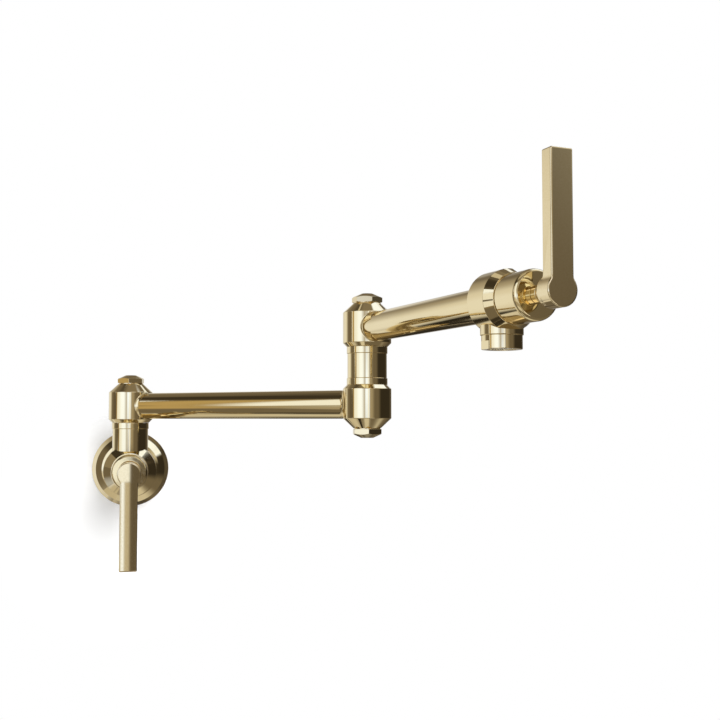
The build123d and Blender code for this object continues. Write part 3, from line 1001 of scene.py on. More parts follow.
@dataclass
class SwivelHub(Turning):
    """Hub at the near end of an arm, drawn about a frame at the height of its arm."""

    radius: float = 21.0
    drop: float = 12.9
    shoulder: float = 13.4
    foot: Point = (17.7, -16.2)
    crown: Point = (12.0, 21.7)
    bush_bore: Point = (14.0, -11.2)
    bore: float = 12.3
    lip: Point = (7.6, 9.0)
    chamber: Point = (10.0, 11.5)
    stem_radius: float = 9.0
    stem_length: float = 5.2
    seal_radius: float = 10.4
    seal_height: float = 1.0
    ease: float = 0.7

    def outline(self) -> Outline:
        """Outline of the hub.

        Returns:
            The corners in order, as radius, height and ease.
        """
        top = self.crown[1]
        return [
            (self.bush_bore[0], self.foot[1]),
            (*self.foot, EDGE),
            (self.radius, -self.drop, self.ease),
            (self.radius, self.shoulder, self.ease),
            (*self.crown, EDGE),
            (self.seal_radius, top),
            (self.seal_radius, top - self.seal_height),
            (self.stem_radius, top - self.seal_height),
            (self.stem_radius, top - self.stem_length),
            (self.chamber[0], top - self.stem_length),
            self.chamber,
            (self.lip[0], self.chamber[1]),
            self.lip,
            (self.bore, self.lip[1]),
            (self.bore, self.bush_bore[1]),
            self.bush_bore,
        ]


@dataclass
class HexCap(Assembly):
    """Hexagon cap with a coned top, on a round foot and a stem that goes into its hub."""

    level: float
    turn: CornerTurn
    radius: float = 13.5
    foot_radius: float = 11.4
    foot_height: float = 0.7
    side_height: float = 4.0
    cone_height: float = 3.7
    flat_radius: float = 5.3
    corner: float = 0.5
    stem_radius: float = 9.0
    stem_length: float = 5.2
    ease: float = 0.45
    ease_limit: float = 18.0
    ease_steps: int = 3
    steps_per_side: int = 24

    def build(self) -> None:
        """Draw the cap."""
        level, start = self.level, self.level + self.foot_height
        side_end = start + self.side_height
        top = side_end + self.cone_height
        slope = self.cone_height / (self.radius - self.flat_radius)
        mesh = bmesh.new()

        def ring(radius_at: Callable[[float], float], height_at: Callable[[float], float]) -> list:
            """Add a ring of vertices.

            Args:
                radius_at: Radius at an angle from the corner.
                height_at: Height at an angle from the corner.

            Returns:
                The vertices.
            """
            made = []
            for angle in angles(6 * self.steps_per_side):
                way = angle + math.radians(self.turn.value)
                spot = self.frame.polar(radius_at(angle), way, height_at(angle))
                made.append(mesh.verts.new(spot))
            return made

        def pole(height: float) -> list:
            """Ring of one vertex, on the axis."""
            return [mesh.verts.new(self.frame.at(0, 0, height))]

        def side_at(angle: float) -> float:
            """Radius of the hexagon's side."""
            return hexagon_reach(self.radius, angle)

        def cone_at(angle: float) -> float:
            """Height at which the cone leaves the side."""
            return side_end + (self.radius - side_at(angle)) * slope

        def under_at(angle: float) -> float:
            """Height at which the corners are turned back below."""
            return start + max(0.0, side_at(angle) - self.radius + self.corner)

        rings = [
            pole(level - self.stem_length),
            ring(lambda a: self.stem_radius, lambda a: level - self.stem_length),
            ring(lambda a: self.stem_radius, lambda a: level),
            ring(lambda a: self.foot_radius, lambda a: level),
            ring(lambda a: self.foot_radius, lambda a: start),
            ring(lambda a: min(side_at(a), self.radius - self.corner), lambda a: start),
            ring(side_at, under_at),
            ring(side_at, cone_at),
            ring(lambda a: self.flat_radius, lambda a: top),
            pole(top),
        ]
        bridge(mesh, rings, closed=False)
        piece = object_from(f"{self.name}_milled", mesh)
        ease_edges(piece, self.ease, self.ease_limit, self.ease_steps)
        self.place(piece, self.name)


@dataclass
class TubeBlend(Assembly):
    """Concave blend of brazing metal between a hub and the tube that enters it.

    Its frame has z along the tube from the hub's axis and x up.  The way is 1 where the tube leaves
    the hub along z and -1 where it comes in against z.
    """

    way: int
    hub_radius: float = 21.0
    tube_radius: float = 12.5
    along_tube: float = 3.4
    along_hub: float = 1.3
    band_top: float = 13.2
    band_foot: float = 12.7
    depth: float = 1.5
    sink: float = 0.4
    steps: int = 144
    across: int = 10

    def surface(self, radius: float, angle: float) -> float:
        """Distance along the tube at which a line beside its axis leaves the hub."""
        return math.sqrt(self.hub_radius**2 - (radius * math.sin(angle)) ** 2)

    def section(self, angle: float) -> list[Vector]:
        """Closed outline of the blend at an angle round the tube.

        Args:
            angle: Angle from the top of the tube.

        Returns:
            Points as distance along the tube and radius.
        """
        up = math.cos(angle)
        limit = self.band_top if up > 0 else self.band_foot
        outer = self.tube_radius + self.along_hub
        if abs(up) * outer > limit:
            outer = limit / abs(up)
        corner = Vector((self.surface(self.tube_radius, angle), self.tube_radius))
        on_hub = Vector((self.surface(outer, angle), outer))
        on_tube = corner + Vector((self.along_tube, 0))
        return [
            *bend(on_hub, corner, on_tube, self.across),
            on_tube - Vector((0, self.sink)),
            Vector((corner.x - self.depth, self.tube_radius - self.sink)),
            Vector((on_hub.x - self.depth, on_hub.y)),
        ]

    def build(self) -> None:
        """Draw the blend."""
        mesh = bmesh.new()
        rings = []
        for angle in angles(self.steps):
            line = self.section(angle)
            spots = [self.frame.polar(point.y, angle, self.way * point.x) for point in line]
            rings.append([mesh.verts.new(spot) for spot in spots])
        bridge(mesh, rings, closed=True)
        self.place(object_from(self.name, mesh))


@dataclass
class WearRing(Turning):
    """Plain ring between a post and a hub, at a level of its frame."""

    level: float
    seat_radius: float = 15.0
    radius: float = 17.7
    height: float = 5.8
    ease: float = 0.35

    def outline(self) -> Outline:
        """Corners of the ring."""
        end = self.level + self.height
        return sleeve(self.seat_radius, self.radius, self.level, end, self.ease)


@dataclass
class SwivelPost(Turning):
    """Post that ends in a swivel spigot, on a plain foot at a level of its frame."""

    level: float
    radius: float = 17.1
    ring_level: float = -22.1
    shoulder_ease: float = 0.25
    spigot_radius: float = 12.0
    spigot_top: float = 8.7
    neck_radius: float = 7.5
    neck_top: float = 15.0
    bore: float = 6.0

    def foot(self) -> Outline:
        """Corners of the foot, from the bore outwards."""
        return [(self.bore, self.level), (self.radius, self.level)]

    def outline(self) -> Outline:
        """Outline of the post.

        Returns:
            The corners in order, as radius, height and ease.
        """
        ring_top = self.ring_level + WearRing.height
        return [
            *self.foot(),
            (self.radius, self.ring_level, self.shoulder_ease),
            (WearRing.seat_radius, self.ring_level),
            (WearRing.seat_radius, ring_top),
            (self.spigot_radius, ring_top),
            (self.spigot_radius, self.spigot_top, EDGE),
            (self.neck_radius, self.spigot_top),
            (self.neck_radius, self.neck_top, EDGE),
            (0, self.neck_top),
            (0, 0),
            (self.bore, 0),
        ]


@dataclass
class Elbow(Turning):
    """Hub at the far end of the first arm, which holds the second arm's post."""

    radius: float = 21.0
    foot: Point = (12.0, -20.6)
    lower_edge: float = -12.1
    upper_edge: float = 13.3
    head: Point = (17.7, 16.7)
    socket: Point = (13.0, 9.7)
    chamber_radius: float = 12.2
    stem_radius: float = 9.0
    stem_length: float = 5.2
    seal_radius: float = 10.4
    seal_height: float = 1.0
    ease: float = 0.7

    def outline(self) -> Outline:
        """Outline of the elbow's hub.

        Returns:
            The corners in order, as radius, height and ease.
        """
        low = self.foot[1]
        return [
            (self.seal_radius, low),
            (*self.foot, EDGE),
            (self.radius, self.lower_edge, self.ease),
            (self.radius, self.upper_edge, self.ease),
            (*self.head, EDGE),
            (self.socket[0], self.head[1]),
            self.socket,
            (self.chamber_radius, self.socket[1]),
            (self.chamber_radius, low + self.stem_length),
            (self.stem_radius, low + self.stem_length),
            (self.stem_radius, low + self.seal_height),
            (self.seal_radius, low + self.seal_height),
        ]


@dataclass
class ElbowPost(SwivelPost):
    """Second post, whose foot goes into the elbow's socket; its level is that of the elbow."""

    def foot(self) -> Outline:
        """Outline of the foot and of the lower ring's seat, from the bore outwards.

        Returns:
            The corners in order, as radius, height and ease.
        """
        socket, level = Elbow.socket[0], self.level + Elbow.socket[1]
        seat = self.level + Elbow.head[1]
        ring_top = seat + WearRing.height
        return [
            (self.bore, level),
            (socket, level),
            (socket, seat),
            (WearRing.seat_radius, seat),
            (WearRing.seat_radius, ring_top),
            (self.radius, ring_top, self.shoulder_ease),
        ]


@dataclass
class ArmTube(Turning):
    """Drawn brass tube of an arm, from its seat in the near hub to an end."""

    work: ClassVar[str] = "drawn"
    end: float
    radius: float = 12.5
    wall: float = 1.6
    seat: float = 14.6

    def outline(self) -> Outline:
        """Corners of the tube."""
        return sleeve(self.radius - self.wall, self.radius, self.seat, self.end)


@dataclass
class Bonnet(Turning):
    """Cap nut of a valve, with its rounded front edge."""

    thread_radius: float = 14.5
    tail: float = 14.0
    joint: float = 19.4
    radius: float = 17.05
    edge: float = 41.6
    edge_hold: float = 0.1
    arc_steps: int = 10
    face: Point = (15.0, 45.0)
    face_ease: float = 0.25
    front_bore: float = 4.3
    inside: Point = (8.1, 39.0)

    def outline(self) -> Outline:
        """Outline of the nut, whose edge is an arc that its side meets without a corner.

        Returns:
            The corners in order, as radius, height and ease.
        """
        rise, inset = self.face[1] - self.edge, self.radius - self.face[0]
        turn = (inset**2 + rise**2) / (2 * inset)
        sweeps = [math.asin(rise / turn) * k / self.arc_steps for k in range(self.arc_steps)]
        arc = [
            (self.radius - turn * (1 - math.cos(s)), self.edge + turn * math.sin(s)) for s in sweeps
        ]
        return [
            (self.front_bore, self.inside[1]),
            self.inside,
            (self.inside[0], self.tail),
            (self.thread_radius, self.tail),
            (self.thread_radius, self.joint),
            (self.radius, self.joint, EDGE),
            (self.radius, self.edge - self.edge_hold),
            *arc,
            (*self.face, self.face_ease),
            (self.front_bore, self.face[1]),
        ]


@dataclass
class ValveNeck(Turning):
    """Turned neck between a bonnet and its lever."""

    gap: float = 0.3
    collar: Point = (6.0, 5.2)
    radius: float = 4.8
    ease: float = 0.5
    throat_ease: float = 0.4
    bead: Point = (6.5, 53.9)
    bead_height: float = 3.4
    bead_ease: float = 0.6
    flare: Point = (8.6, 2.2)
    flare_ease: float = 1.0
    spindle: float = 4.0

    def outline(self) -> Outline:
        """Outline of the neck.

        Returns:
            The corners in order, as radius, height and ease.
        """
        start = Bonnet.face[1] + self.gap
        collar_end = start + self.collar[1]
        half = self.bead_height / 2
        low, high = self.bead[1] - half, self.bead[1] + half
        return [
            (self.spindle, start),
            (self.collar[0], start, EDGE),
            (self.collar[0], collar_end, self.ease),
            (self.radius, collar_end, self.throat_ease),
            (self.radius, low, self.ease),
            (self.bead[0], low + half / 2, self.bead_ease),
            (self.bead[0], high - half / 2, self.bead_ease),
            (self.radius, high, self.ease),
            (self.radius, Lever.back - self.flare[1], self.flare_ease),
            (self.flare[0], Lever.back),
            (self.spindle, Lever.back),
        ]


@dataclass
class Lever(Assembly):
    """Lever of a quarter turn valve: a keyhole plate on a round boss.

    Its frame has z out towards the lever and y up.  The way is 1 for a lever that points up and -1
    for one that points down.
    """

    way: int
    back: float = 59.6
    blade_back: float = 62.8
    face: float = 73.35
    head_radius: float = 10.85
    head_steps: int = 48
    boss_steps: int = 192
    half_width: float = 8.05
    length: float = 88.2
    crotch: float = 4.8
    tip: float = 1.3
    corner_steps: int = 8
    ease: float = 1.0
    ease_steps: int = 5
    flat_hold: float = 0.15
    root_reach: float = 4.6
    root_sink: float = 0.5
    root_across: int = 7
    root_steps: int = 8
    grub_station: float = 64.5
    grub_radius: float = 2.0
    grub_run: float = 2.0

    def keyhole(self) -> list[Place]:
        """Outline of an upright lever seen from the front.

        Returns:
            Points with the angle at which the outline faces outwards.
        """
        far, side = self.head_radius + self.crotch, self.half_width + self.crotch
        rise = math.sqrt(far**2 - side**2)
        lean = math.atan2(rise, side)
        half: list[Place] = []

        def arc(x: float, y: float, radius: float, angle: float, facing: float) -> None:
            """Add a point on an arc about (x, y)."""
            half.append((x + radius * math.cos(angle), y + radius * math.sin(angle), facing))

        for k in range(self.head_steps + 1):
            angle = -QUARTER_TURN + (lean + QUARTER_TURN) * k / self.head_steps
            arc(0.0, 0.0, self.head_radius, angle, angle)
        for k in range(1, self.corner_steps + 1):
            angle = math.pi + lean - lean * k / self.corner_steps
            arc(side, rise, self.crotch, angle, angle - math.pi)
        half.append((self.half_width, rise + self.flat_hold, 0.0))
        half.append((self.half_width, self.length / 2, 0.0))
        for k in range(self.corner_steps + 1):
            angle = QUARTER_TURN * k / self.corner_steps
            arc(self.half_width - self.tip, self.length - self.tip, self.tip, angle, angle)
        mirrored = [(-x, y, math.pi - facing) for x, y, facing in reversed(half[1:])]
        return half + mirrored

    def plate(self, mesh: Mesh) -> None:
        """Add the keyhole plate with its rounded edges.

        Args:
            mesh: Working mesh.
        """
        reach, held = self.ease, self.ease + self.flat_hold
        turns = [QUARTER_TURN * k / self.ease_steps for k in range(self.ease_steps + 1)]
        rounding = [(reach * (1 - math.cos(s)), reach * (1 - math.sin(s))) for s in turns]
        rows = [(held, self.blade_back)]
        rows += [(inset, self.blade_back + drop) for inset, drop in reversed(rounding)]
        rows += [(0.0, self.blade_back + held), (0.0, self.face - held)]
        rows += [(inset, self.face - drop) for inset, drop in rounding]
        rows.append((held, self.face))
        rings = []
        for inset, height in rows:
            ring = []
            for x, y, facing in self.keyhole():
                spot = (x - inset * math.cos(facing), self.way * (y - inset * math.sin(facing)))
                ring.append(mesh.verts.new(self.frame.at(*spot, height)))
            rings.append(ring)
        bridge(mesh, rings, closed=False)
        mesh.faces.new(rings[0])
        mesh.faces.new(rings[-1])

    def root(self, mesh: Mesh) -> None:
        """Add the fillet between the boss and the back of the blade.

        Args:
            mesh: Working mesh.
        """
        ease, sink, across = self.ease, self.root_sink, self.root_across
        flat = self.half_width - ease
        turns = [QUARTER_TURN * k / self.ease_steps for k in range(1, self.ease_steps + 1)]
        rounded = [(flat + ease * math.sin(t), ease * (1 - math.cos(t))) for t in turns]
        lines = [(-x, lift) for x, lift in reversed(rounded)]
        lines += [(flat * k / across, 0.0) for k in range(-across, across + 1)]
        rings = []
        for x, lift in lines + rounded:
            boss = math.sqrt(self.head_radius**2 - x**2)
            low = Vector((boss, self.back + ease + lift))
            corner = Vector((boss, self.blade_back + lift))
            end = corner + Vector((self.root_reach, 0))
            top = end.y + sink
            line = bend(low, corner, end, self.root_steps)
            line += [Vector((end.x, top)), Vector((boss - sink, top)), Vector((boss - sink, low.y))]
            spots = [self.frame.at(x, self.way * spot.x, spot.y) for spot in line]
            rings.append([mesh.verts.new(spot) for spot in spots])
        bridge(mesh, rings, closed=False)
        mesh.faces.new(rings[0])
        mesh.faces.new(rings[-1])

    def build(self) -> None:
        """Draw the lever, with the hole of its grub screw."""
        mesh = bmesh.new()
        self.plate(mesh)
        self.root(mesh)
        boss_end = self.blade_back + self.ease
        outline = [
            (0, self.back),
            (self.head_radius, self.back, self.ease),
            (self.head_radius, boss_end),
            (0, boss_end),
        ]
        spin(mesh, self.frame, outline, self.boss_steps)
        piece = object_from(f"{self.name}_milled", mesh)
        frame = self.frame
        side = Frame(frame.at(0, 0, self.grub_station) / MM, frame.z, frame.x)
        drill(piece, side, self.grub_radius, ValveNeck.spindle, self.head_radius + self.grub_run)
        self.place(piece, self.name, Slot.LEVER)


@dataclass
class Nipple(Turning):
    """Nipple below the outlet valve, with its thread inside the aerator's housing."""

    radius: float = 14.6
    top: float = 15.8
    foot: float = 22.9
    bore: float = 8.5
    ease: float = 0.5
    thread_radius: float = 11.6
    thread_foot: float = 27.9

    def outline(self) -> Outline:
        """Outline of the nipple.

        Returns:
            The corners in order, as radius, height and ease.
        """
        return [
            (self.bore, self.top),
            (self.radius, self.top, EDGE),
            (self.radius, self.foot, self.ease),
            (self.thread_radius, self.foot),
            (self.thread_radius, self.thread_foot),
            (self.bore, self.thread_foot),
        ]


@dataclass
class AeratorHousing(Turning):
    """Housing of the aerator, with two wrench flats."""

    radius: float = 13.9
    foot: float = 32.4
    lip_radius: float = 9.8
    lip_height: float = 0.9
    flat_depth: float = 0.9
    flat_height: float = 5.6
    flat_edge: float = math.radians(14)
    cutter_run: Point = (2.0, 1.0)
    ease: float = 0.6

    def outline(self) -> Outline:
        """Outline of the housing.

        Returns:
            The corners in order, as radius, height and ease.
        """
        thread, top, insert_foot = Nipple.thread_radius, Nipple.foot, self.foot - self.lip_height
        return [
            (thread, top),
            (self.radius, top, EDGE),
            (self.radius, self.foot, self.ease),
            (self.lip_radius, self.foot, EDGE),
            (self.lip_radius, insert_foot),
            (thread, insert_foot),
        ]

    def mill(self, piece: Piece) -> None:
        """Mill the wrench flats.

        Args:
            piece: The turned housing.
        """
        inner = self.radius - self.flat_depth
        outer, half = (self.radius + run for run in self.cutter_run)
        low, high = self.foot - self.flat_height, self.foot + self.cutter_run[1]
        for side in (1, -1):
            near, far = side * inner, side * outer
            loop = [(near, -half), (far, -half), (far, half), (near, half)]
            cut(piece, prism(self.frame, loop, low, high), sharp=self.flat_edge)


@dataclass
class AeratorScreen(Turning):
    """Insert of the aerator: a rim and a honeycomb that straightens the water."""

    slot: ClassVar[Slot] = Slot.AERATOR
    work: ClassVar[str] = "rim"
    top: float = 28.7
    bottom: float = 31.5
    radius: float = 11.6
    opening: float = 10.1
    recess: float = 0.5
    pitch: float = 2.1
    web: float = 0.5
    cells: int = 13
    overlap: float = 0.2

    def honeycomb(self) -> Piece:
        """Make the honeycomb from one six-sided cell on a staggered grid.

        Returns:
            The honeycomb.
        """
        depth = self.bottom - self.recess - self.top
        sizes = {"Pitch": self.pitch, "Web": self.web, "Depth": depth}
        sizes |= {"Opening": self.opening, "Cells": self.cells}
        pattern = Pattern("honeycomb", sizes)
        graph, pitch, web = pattern.graph, pattern.size("Pitch"), pattern.size("Web")
        row_step, across = pitch * (math.sqrt(3) / 2), pattern.size("Cells")
        grid = {"Size X": pitch * (across - 1.0), "Size Y": row_step * (across - 1.0)}
        grid |= {"Vertices X": across, "Vertices Y": across}
        centres = graph.node("GeometryNodeMeshGrid", grid)
        place = graph.node("GeometryNodeInputPosition")
        row = graph.node("ShaderNodeSeparateXYZ", {0: place}).outputs[1]
        odd = (Number(graph, row) / row_step).math("ROUND").math("ABSOLUTE").math("MODULO", 2.0)
        offset = graph.node("ShaderNodeCombineXYZ", {0: odd * pitch * 0.5})
        shift = {"Geometry": centres, "Offset": offset}
        staggered = graph.node("GeometryNodeSetPosition", shift)
        reach = graph.node("ShaderNodeVectorMath", {0: place}, operation="LENGTH")
        limit = pattern.size("Opening") - pitch * self.overlap
        outside = Number(graph, reach.outputs["Value"]).math("GREATER_THAN", limit)
        past = {"Geometry": staggered, "Selection": outside}
        kept = graph.node("GeometryNodeDeleteGeometry", past, domain="POINT", mode="ALL")
        line = {"Resolution": 6, "Radius": (pitch - web * 0.5) / math.sqrt(3)}
        side = graph.node("GeometryNodeCurvePrimitiveCircle", line)
        section = {"Width": web / math.sqrt(3), "Height": pattern.size("Depth")}
        wall = graph.node("GeometryNodeCurvePrimitiveQuadrilateral", section)
        sweep = {"Curve": side, "Profile Curve": wall}
        cell = graph.node("GeometryNodeCurveToMesh", sweep)
        spread = {"Points": kept, "Instance": cell, "Rotation": (0, 0, SIXTH_TURN / 2)}
        comb = graph.node("GeometryNodeInstanceOnPoints", spread)
        lower = {"Geometry": comb, "Translation": (0, 0, self.top + depth / 2)}
        lowered = graph.node("GeometryNodeTransform", lower)
        return pattern.made(lowered, "aerator_honeycomb", self.frame, self.materials[self.slot])

    def outline(self) -> Outline:
        """Outline of the rim.

        Returns:
            The corners in order, as radius, height and ease.
        """
        return [
            (self.opening, self.top),
            (self.radius, self.top),
            (self.radius, self.bottom, FINE_EDGE),
            (self.opening, self.bottom, FINE_EDGE),
        ]

    def build(self) -> None:
        """Draw the rim and the honeycomb."""
        super().build()
        self.place(self.honeycomb(), slot=self.slot)


# ---------------------------------------------------------------- studio


@dataclass(frozen=True)
class Shot:
    """Camera of the photograph, in millimetres and degrees."""

    place: Place = (11.63, -1123.79, 49.49)
    yaw: float = 11.504
    pitch: float = 3.221
    lens: float = 53.32
    sensor: float = 36.0
    clip: Point = (0.05, 50.0)

    def build(self) -> None:
        """Make the scene's camera."""
        made = bpy.data.objects.new("camera", bpy.data.cameras.new("camera"))
        made.data.lens, made.data.sensor_width = self.lens, self.sensor
        made.data.clip_start, made.data.clip_end = self.clip
        made.location = Vector(self.place) * MM
        made.rotation_euler = (math.radians(90 + self.pitch), 0, math.radians(-self.yaw))
        bpy.context.scene.collection.objects.link(made)
        bpy.context.scene.camera = made


@dataclass(frozen=True)
class Panel:
    """Soft-edged card of the studio: its place, in degrees, and how bright the metal shows it."""

    left: float
    right: float
    foot: float
    head: float
    level: float
    soft: float = 4.0
    amber: float = 0.0

    @property
    def colour(self) -> Colour:
        """Colour of the card: dim cards are warm and bright ones are cool, as daylight is."""
        red = 1.21 - 0.27 * self.level + self.amber
        blue = 0.76 + 0.03 * self.level + 0.34 * self.level**2 - 1.6 * self.amber
        return (self.level * red, self.level, self.level * blue)


PANELS = tuple(
    Panel(*row)
    for row in (
        (-180, 179, 61, 99, 0.21, 0.5),
        (-123, -77, 34, 64, 0.04, 20),
        (-167, -120, 23, 36, 0.4, 20),
        (-152, -121, -60, 27, 0.78, 20),
        (-184, -108, -57, -37, 0.55, 0.5),
        (-204, -160, -79, -39, 0.01, 14.5),
        (25, 148, -18, 24, 0.03, 18.5),
        (-43, 42, -2, 48, 0.37, 0.5),
        (18, 50, -16, 13, 0.14, 20),
        (-88, -75, -20, 34, 0.4, 12, 0.2),
        (-76, -37, -6, 44, 1.12, 4.5),
        (-59, -28, -22, 8, 1.39, 20),
        (-71, -10, -53, -6, 0.69, 17.5),
        (-20.5, 0.5, -1, 5, 1.5, 8.5),
        (-76, 1, -36, -20, 0.37, 2),
        (82, 132, 36, 71, 1.32, 4.5),
        (46, 93, 14, 69, 0.71, 20),
        (-91, 64, 58, 87, 0.47, 14),
        (113, 224, -97, -49, 0.65, 20),
        (145, 207, -1, 20, 0.79, 16),
        (171, 188, -12, 27, 0.75, 10),
        (-89, -85.5, -18.5, 23, 0.99, 0.5),
        (-109, -96, 7, 39, 0.24, 0.5),
        (-171, -129, -16, 11, 0.91, 15.5),
        (-163, -121, 58, 69, 0.04, 20),
        (102.5, 109, 19.5, 49, 0.03, 0.5),
        (107, 115, 23, 70, 1.27, 6.5),
        (-108, -107, -42.5, -16, 1.3, 8),
        (130, 159, 41, 49, 1.15, 0.5),
        (-188, -151, -31, -20, 0.02, 7),
        (-7.5, -2, -14.5, 10.5, 1.14, 0.5),
        (150, 155, 12.5, 30.5, 1.25, 0.5),
        (-179.5, -140, -33, -30, 0.69, 1),
        (-161.5, -114.5, -74, -67, 0.03, 0.5),
        (-94.5, -89, 13.5, 33, 1.24, 0.5),
        (164, 174, -22, -9, 0.02, 4.5),
        (123, 151, -31, 16, 0.08, 20),
        (-105, -70, -83, -64, 0.71, 4),
        (-167.5, -129.5, 65.5, 69.5, 0.62, 0.5),
        (-102, -81, -2, 2.5, 0.11, 3),
        (-115, -99, -67, -51, 0.04, 3.5),
        (-163, -152, -24, 15, 0.79, 5),
        (-199, -174.5, -26.5, -25.5, 0.27, 0.5),
        (-2, 29, 17, 44, 1.35, 6, 0.12),
        (0, 28, -46, -25, 1.1, 6, 0.12),
        (-1.77, 1.5, -12, -2.4, 0.11, 0.15),
        (-2.8, -1.77, -3.95, -2.4, 1.13, 0.15),
        (-2.8, -1.77, -12, -3.95, 0.55, 0.15),
        (-2.3, -2.1, -12, -3.95, 1.3, 0.1),
    )
)


@dataclass(frozen=True)
class Sky(Surface):
    """Glow of the cards on the inside of a dome, over a dim base."""

    base: float = 0.15

    def draw(self, graph: Graph, place: Socket) -> Node:
        """Add the nodes of the cards.

        Args:
            graph: Graph of the material.
            place: Object coordinates.

        Returns:
            The node of the surface.
        """
        toward = graph.node("ShaderNodeVectorMath", {0: place}, operation="NORMALIZE")
        split = graph.node("ShaderNodeSeparateXYZ", {0: toward})
        x, y, z = (Number(graph, split.outputs[k]) for k in range(3))
        degree = 180 / math.pi
        azimuth = x.math("ARCTAN2", y * -1.0) * degree
        height = z.math("ARCSINE") * degree
        colour: object = opaque(Panel(0, 0, 0, 0, self.base).colour)
        for panel in PANELS:
            half = panel.soft / 2
            share: Number | None = None
            for turn in (-360, 0, 360):
                left, right = panel.left + turn, panel.right + turn
                if right < -180 or left > 180:
                    continue
                here = azimuth.step_between(left - half, left + half)
                here = here * azimuth.step_between(right - half, right + half, 1, 0)
                share = here if share is None else share + here
            band = height.step_between(panel.foot - half, panel.foot + half)
            band = band * height.step_between(panel.head - half, panel.head + half, 1, 0)
            colour = graph.blend(share * band, colour, opaque(panel.colour))
        return graph.node("ShaderNodeEmission", {"Color": colour, "Strength": 1.0})


@dataclass(frozen=True)
class Paint(Surface):
    """Matt white paint of the stage, which ends softly and can be seen through from behind.

    The lift is the share of white that it shows by itself.  It lies about its middle, starts to
    thin out at the first distance of the fade and ends at the second.
    """

    lift: float
    middle: Place
    fade: Point
    white: Colour = (0.9, 0.9, 0.9)
    matt: float = 0.9

    def draw(self, graph: Graph, place: Socket) -> Node:
        """Add the nodes of the paint.

        Args:
            graph: Graph of the material.
            place: Object coordinates.

        Returns:
            The node of the surface.
        """
        inputs = {
            "Base Color": opaque(self.white),
            "Roughness": self.matt,
            "Emission Color": opaque((1, 1, 1)),
            "Emission Strength": graph.shown() * self.lift,
        }
        paint = graph.node("ShaderNodeBsdfPrincipled", inputs)
        clear = graph.node("ShaderNodeBsdfTransparent")
        behind = Number(graph, graph.node("ShaderNodeNewGeometry").outputs["Backfacing"])
        ends = {0: place, 1: self.middle}
        apart = graph.node("ShaderNodeVectorMath", ends, operation="DISTANCE").outputs["Value"]
        gone = behind.math("MAXIMUM", Number(graph, apart).step_between(*self.fade))
        return graph.node("ShaderNodeMixShader", {0: gone, 1: paint, 2: clear})


@dataclass
class Studio:
    """Pale floor and wall, a ring of cards round the metal, a soft lamp and the camera."""

    shot: Shot = Shot()
    sky: Sky = Sky()
    wall: Paint = Paint(0.1, (-0.015, 0.0, -0.055), (0.07, 0.125))
    floor: Paint = Paint(0.34, (0.12, -0.25, -0.9), (1.0, 2.5))
    centre: Place = (0.12, -0.25, 0.06)
    radius: float = 6.0
    reach: float = 2.6
    room_light: float = 0.55
    lamp_place: Place = (0.75, -1.6, 1.15)
    lamp_size: float = 1.7
    lamp_watts: float = 60.0

    def sheet(self, name: str, corners: Sequence[Place], paint: Paint) -> None:
        """Lay one flat sheet of the stage, which the metal doesn't mirror.

        Args:
            name: Name of the sheet.
            corners: Its corners, in metres.
            paint: Its paint.
        """
        mesh = bpy.data.meshes.new(name)
        mesh.from_pydata(corners, [], [tuple(range(len(corners)))])
        mesh.materials.append(paint.material(name))
        made = bpy.data.objects.new(name, mesh)
        bpy.context.scene.collection.objects.link(made)
        made.visible_glossy = False

    def cards(self) -> None:
        """Hang the cards that only the metal sees, as areas of one large shell."""
        mesh = bmesh.new()
        bmesh.ops.create_icosphere(mesh, subdivisions=5, radius=self.radius)
        dome = object_from("studio_cards", mesh)
        dome.location = self.centre
        dome.data.materials.append(self.sky.material("studio_cards"))
        for sense in ("camera", "diffuse", "transmission", "volume_scatter", "shadow"):
            setattr(dome, f"visible_{sense}", False)

    def lamp(self) -> None:
        """Hang the soft lamp that throws the shadow on the wall."""
        lamp = bpy.data.objects.new("soft_lamp", bpy.data.lights.new("soft_lamp", "AREA"))
        lamp.data.shape, lamp.data.size = "DISK", self.lamp_size
        lamp.data.energy = self.lamp_watts
        lamp.location = self.lamp_place
        aim = Vector(self.centre) - lamp.location
        lamp.rotation_euler = aim.to_track_quat("-Z", "Y").to_euler()
        lamp.visible_glossy = False
        bpy.context.scene.collection.objects.link(lamp)

    def build(self) -> None:
        """Set up the stage."""
        self.shot.build()
        scene = bpy.context.scene
        scene.view_settings.view_transform = "Standard"
        scene.world = bpy.data.worlds.new("studio")
        scene.world.use_nodes = True
        graph = Graph(scene.world.node_tree)
        strength = graph.shown() * (1.0 - self.room_light) + self.room_light
        light = {"Color": opaque((1, 1, 1)), "Strength": strength}
        world = graph.node("ShaderNodeBackground", light)
        graph.node("ShaderNodeOutputWorld", {"Surface": world})
        far, low = self.reach, self.floor.middle[2]
        upright = [(-far, 0, -far), (far, 0, -far), (far, 0, far), (-far, 0, far)]
        flat = [(-far, -far, low), (far, -far, low), (far, far, low), (-far, far, low)]
        self.sheet("wall", upright, self.wall)
        self.sheet("floor", flat, self.floor)
        self.cards()
        self.lamp()


# ---------------------------------------------------------------- the tap


def dress_frame(frame: dict, materials: dict[Slot, Material]) -> None:
    """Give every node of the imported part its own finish.

    Args:
        materials: Materials by slot.
    """
    slots = {row["node"]: Slot(row["material_slot"]) for row in frame["record"]["subparts"]}
    for name, node in frame["nodes"].items():
        for slot in node.material_slots:
            slot.material = materials[slots[name]]


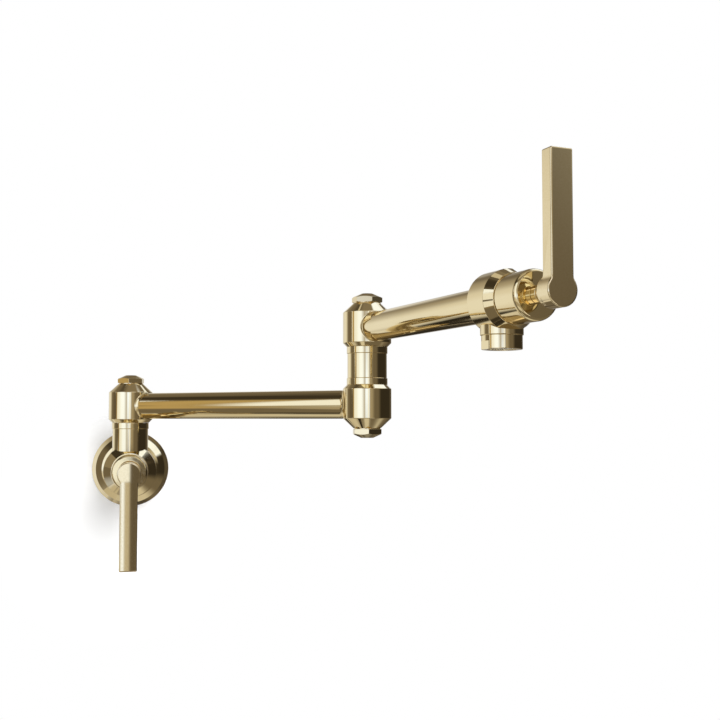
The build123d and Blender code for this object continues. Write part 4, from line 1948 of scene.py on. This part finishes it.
def main() -> None:
    """Build the tap around its frame, then the studio."""
    logging.basicConfig(level=logging.INFO, format="%(name)s: %(message)s")
    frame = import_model()
    materials = {slot: finish.material(slot.value) for slot, finish in FINISHES.items()}
    dress_frame(frame, materials)
    layout = Layout(frame["joints"])
    hub_1, hub_2 = layout.hub_1, layout.hub_2
    crown, nut_level, ring_level = SwivelHub.crown[1], -Elbow.foot[1], SwivelPost.ring_level
    rise = layout.elbow.origin.z - hub_2.origin.z
    tube_1_end = layout.arm_1_length - ArmTube.seat
    tube_2_end = layout.arm_2_length + OutletBody.socket[1]
    plan = (
        (WallFlange, layout.wall, "wall_flange", Body.WALL),
        (InletBody, layout.inlet, "inlet_body", Body.WALL),
        (SwivelHub, hub_1, "hub_1", Body.ARM_1),
        (SwivelHub, hub_2, "hub_2", Body.ARM_2),
        (HexCap, hub_1, "hub_1_cap", Body.ARM_1, crown, CornerTurn.HUB_1),
        (HexCap, hub_2, "hub_2_cap", Body.ARM_2, crown, CornerTurn.HUB_2),
        (Elbow, layout.elbow, "elbow_hub", Body.ARM_1),
        (HexCap, layout.elbow_under, "elbow_nut", Body.ARM_1, nut_level, CornerTurn.ELBOW_NUT),
        (SwivelPost, hub_1, "riser_post", Body.WALL, RISER_FOOT - hub_1.origin.z),
        (WearRing, hub_1, "riser_wear_ring", Body.WALL, ring_level),
        (ElbowPost, hub_2, "elbow_post", Body.ARM_1, rise),
        (WearRing, hub_2, "elbow_wear_ring", Body.ARM_1, ring_level),
        (WearRing, hub_2, "elbow_lower_ring", Body.ARM_1, rise + Elbow.head[1]),
        (ArmTube, layout.arm_1, "arm_1_tube", Body.ARM_1, tube_1_end),
        (ArmTube, layout.arm_2, "arm_2_tube", Body.ARM_2, tube_2_end),
        (TubeBlend, layout.arm_1, "arm_1_root_blend", Body.ARM_1, 1),
        (TubeBlend, layout.arm_2, "arm_2_root_blend", Body.ARM_2, 1),
        (TubeBlend, layout.arm_1_tip, "arm_1_tip_blend", Body.ARM_1, -1),
        (Bonnet, layout.inlet, "inlet_bonnet", Body.WALL),
        (ValveNeck, layout.inlet, "inlet_neck", Body.INLET_HANDLE),
        (Lever, layout.inlet, "inlet_lever", Body.INLET_HANDLE, -1),
        (Bonnet, layout.outlet, "outlet_bonnet", Body.ARM_2),
        (ValveNeck, layout.outlet, "outlet_neck", Body.OUTLET_HANDLE),
        (Lever, layout.outlet, "outlet_lever", Body.OUTLET_HANDLE, 1),
        (OutletBody, layout.outlet, "outlet_body", Body.ARM_2),
        (Nipple, layout.spout, "spout_nipple", Body.ARM_2),
        (AeratorHousing, layout.spout, "aerator_housing", Body.ARM_2),
        (AeratorScreen, layout.spout, "aerator_insert", Body.ARM_2),
        (InletShank, layout.wall, "inlet_shank", Body.WALL),
    )
    for kind, *placing in plan:
        kind(materials, *placing).build()
    Studio().build()
    bpy.context.view_layer.update()


if __name__ == "__main__":
    main()
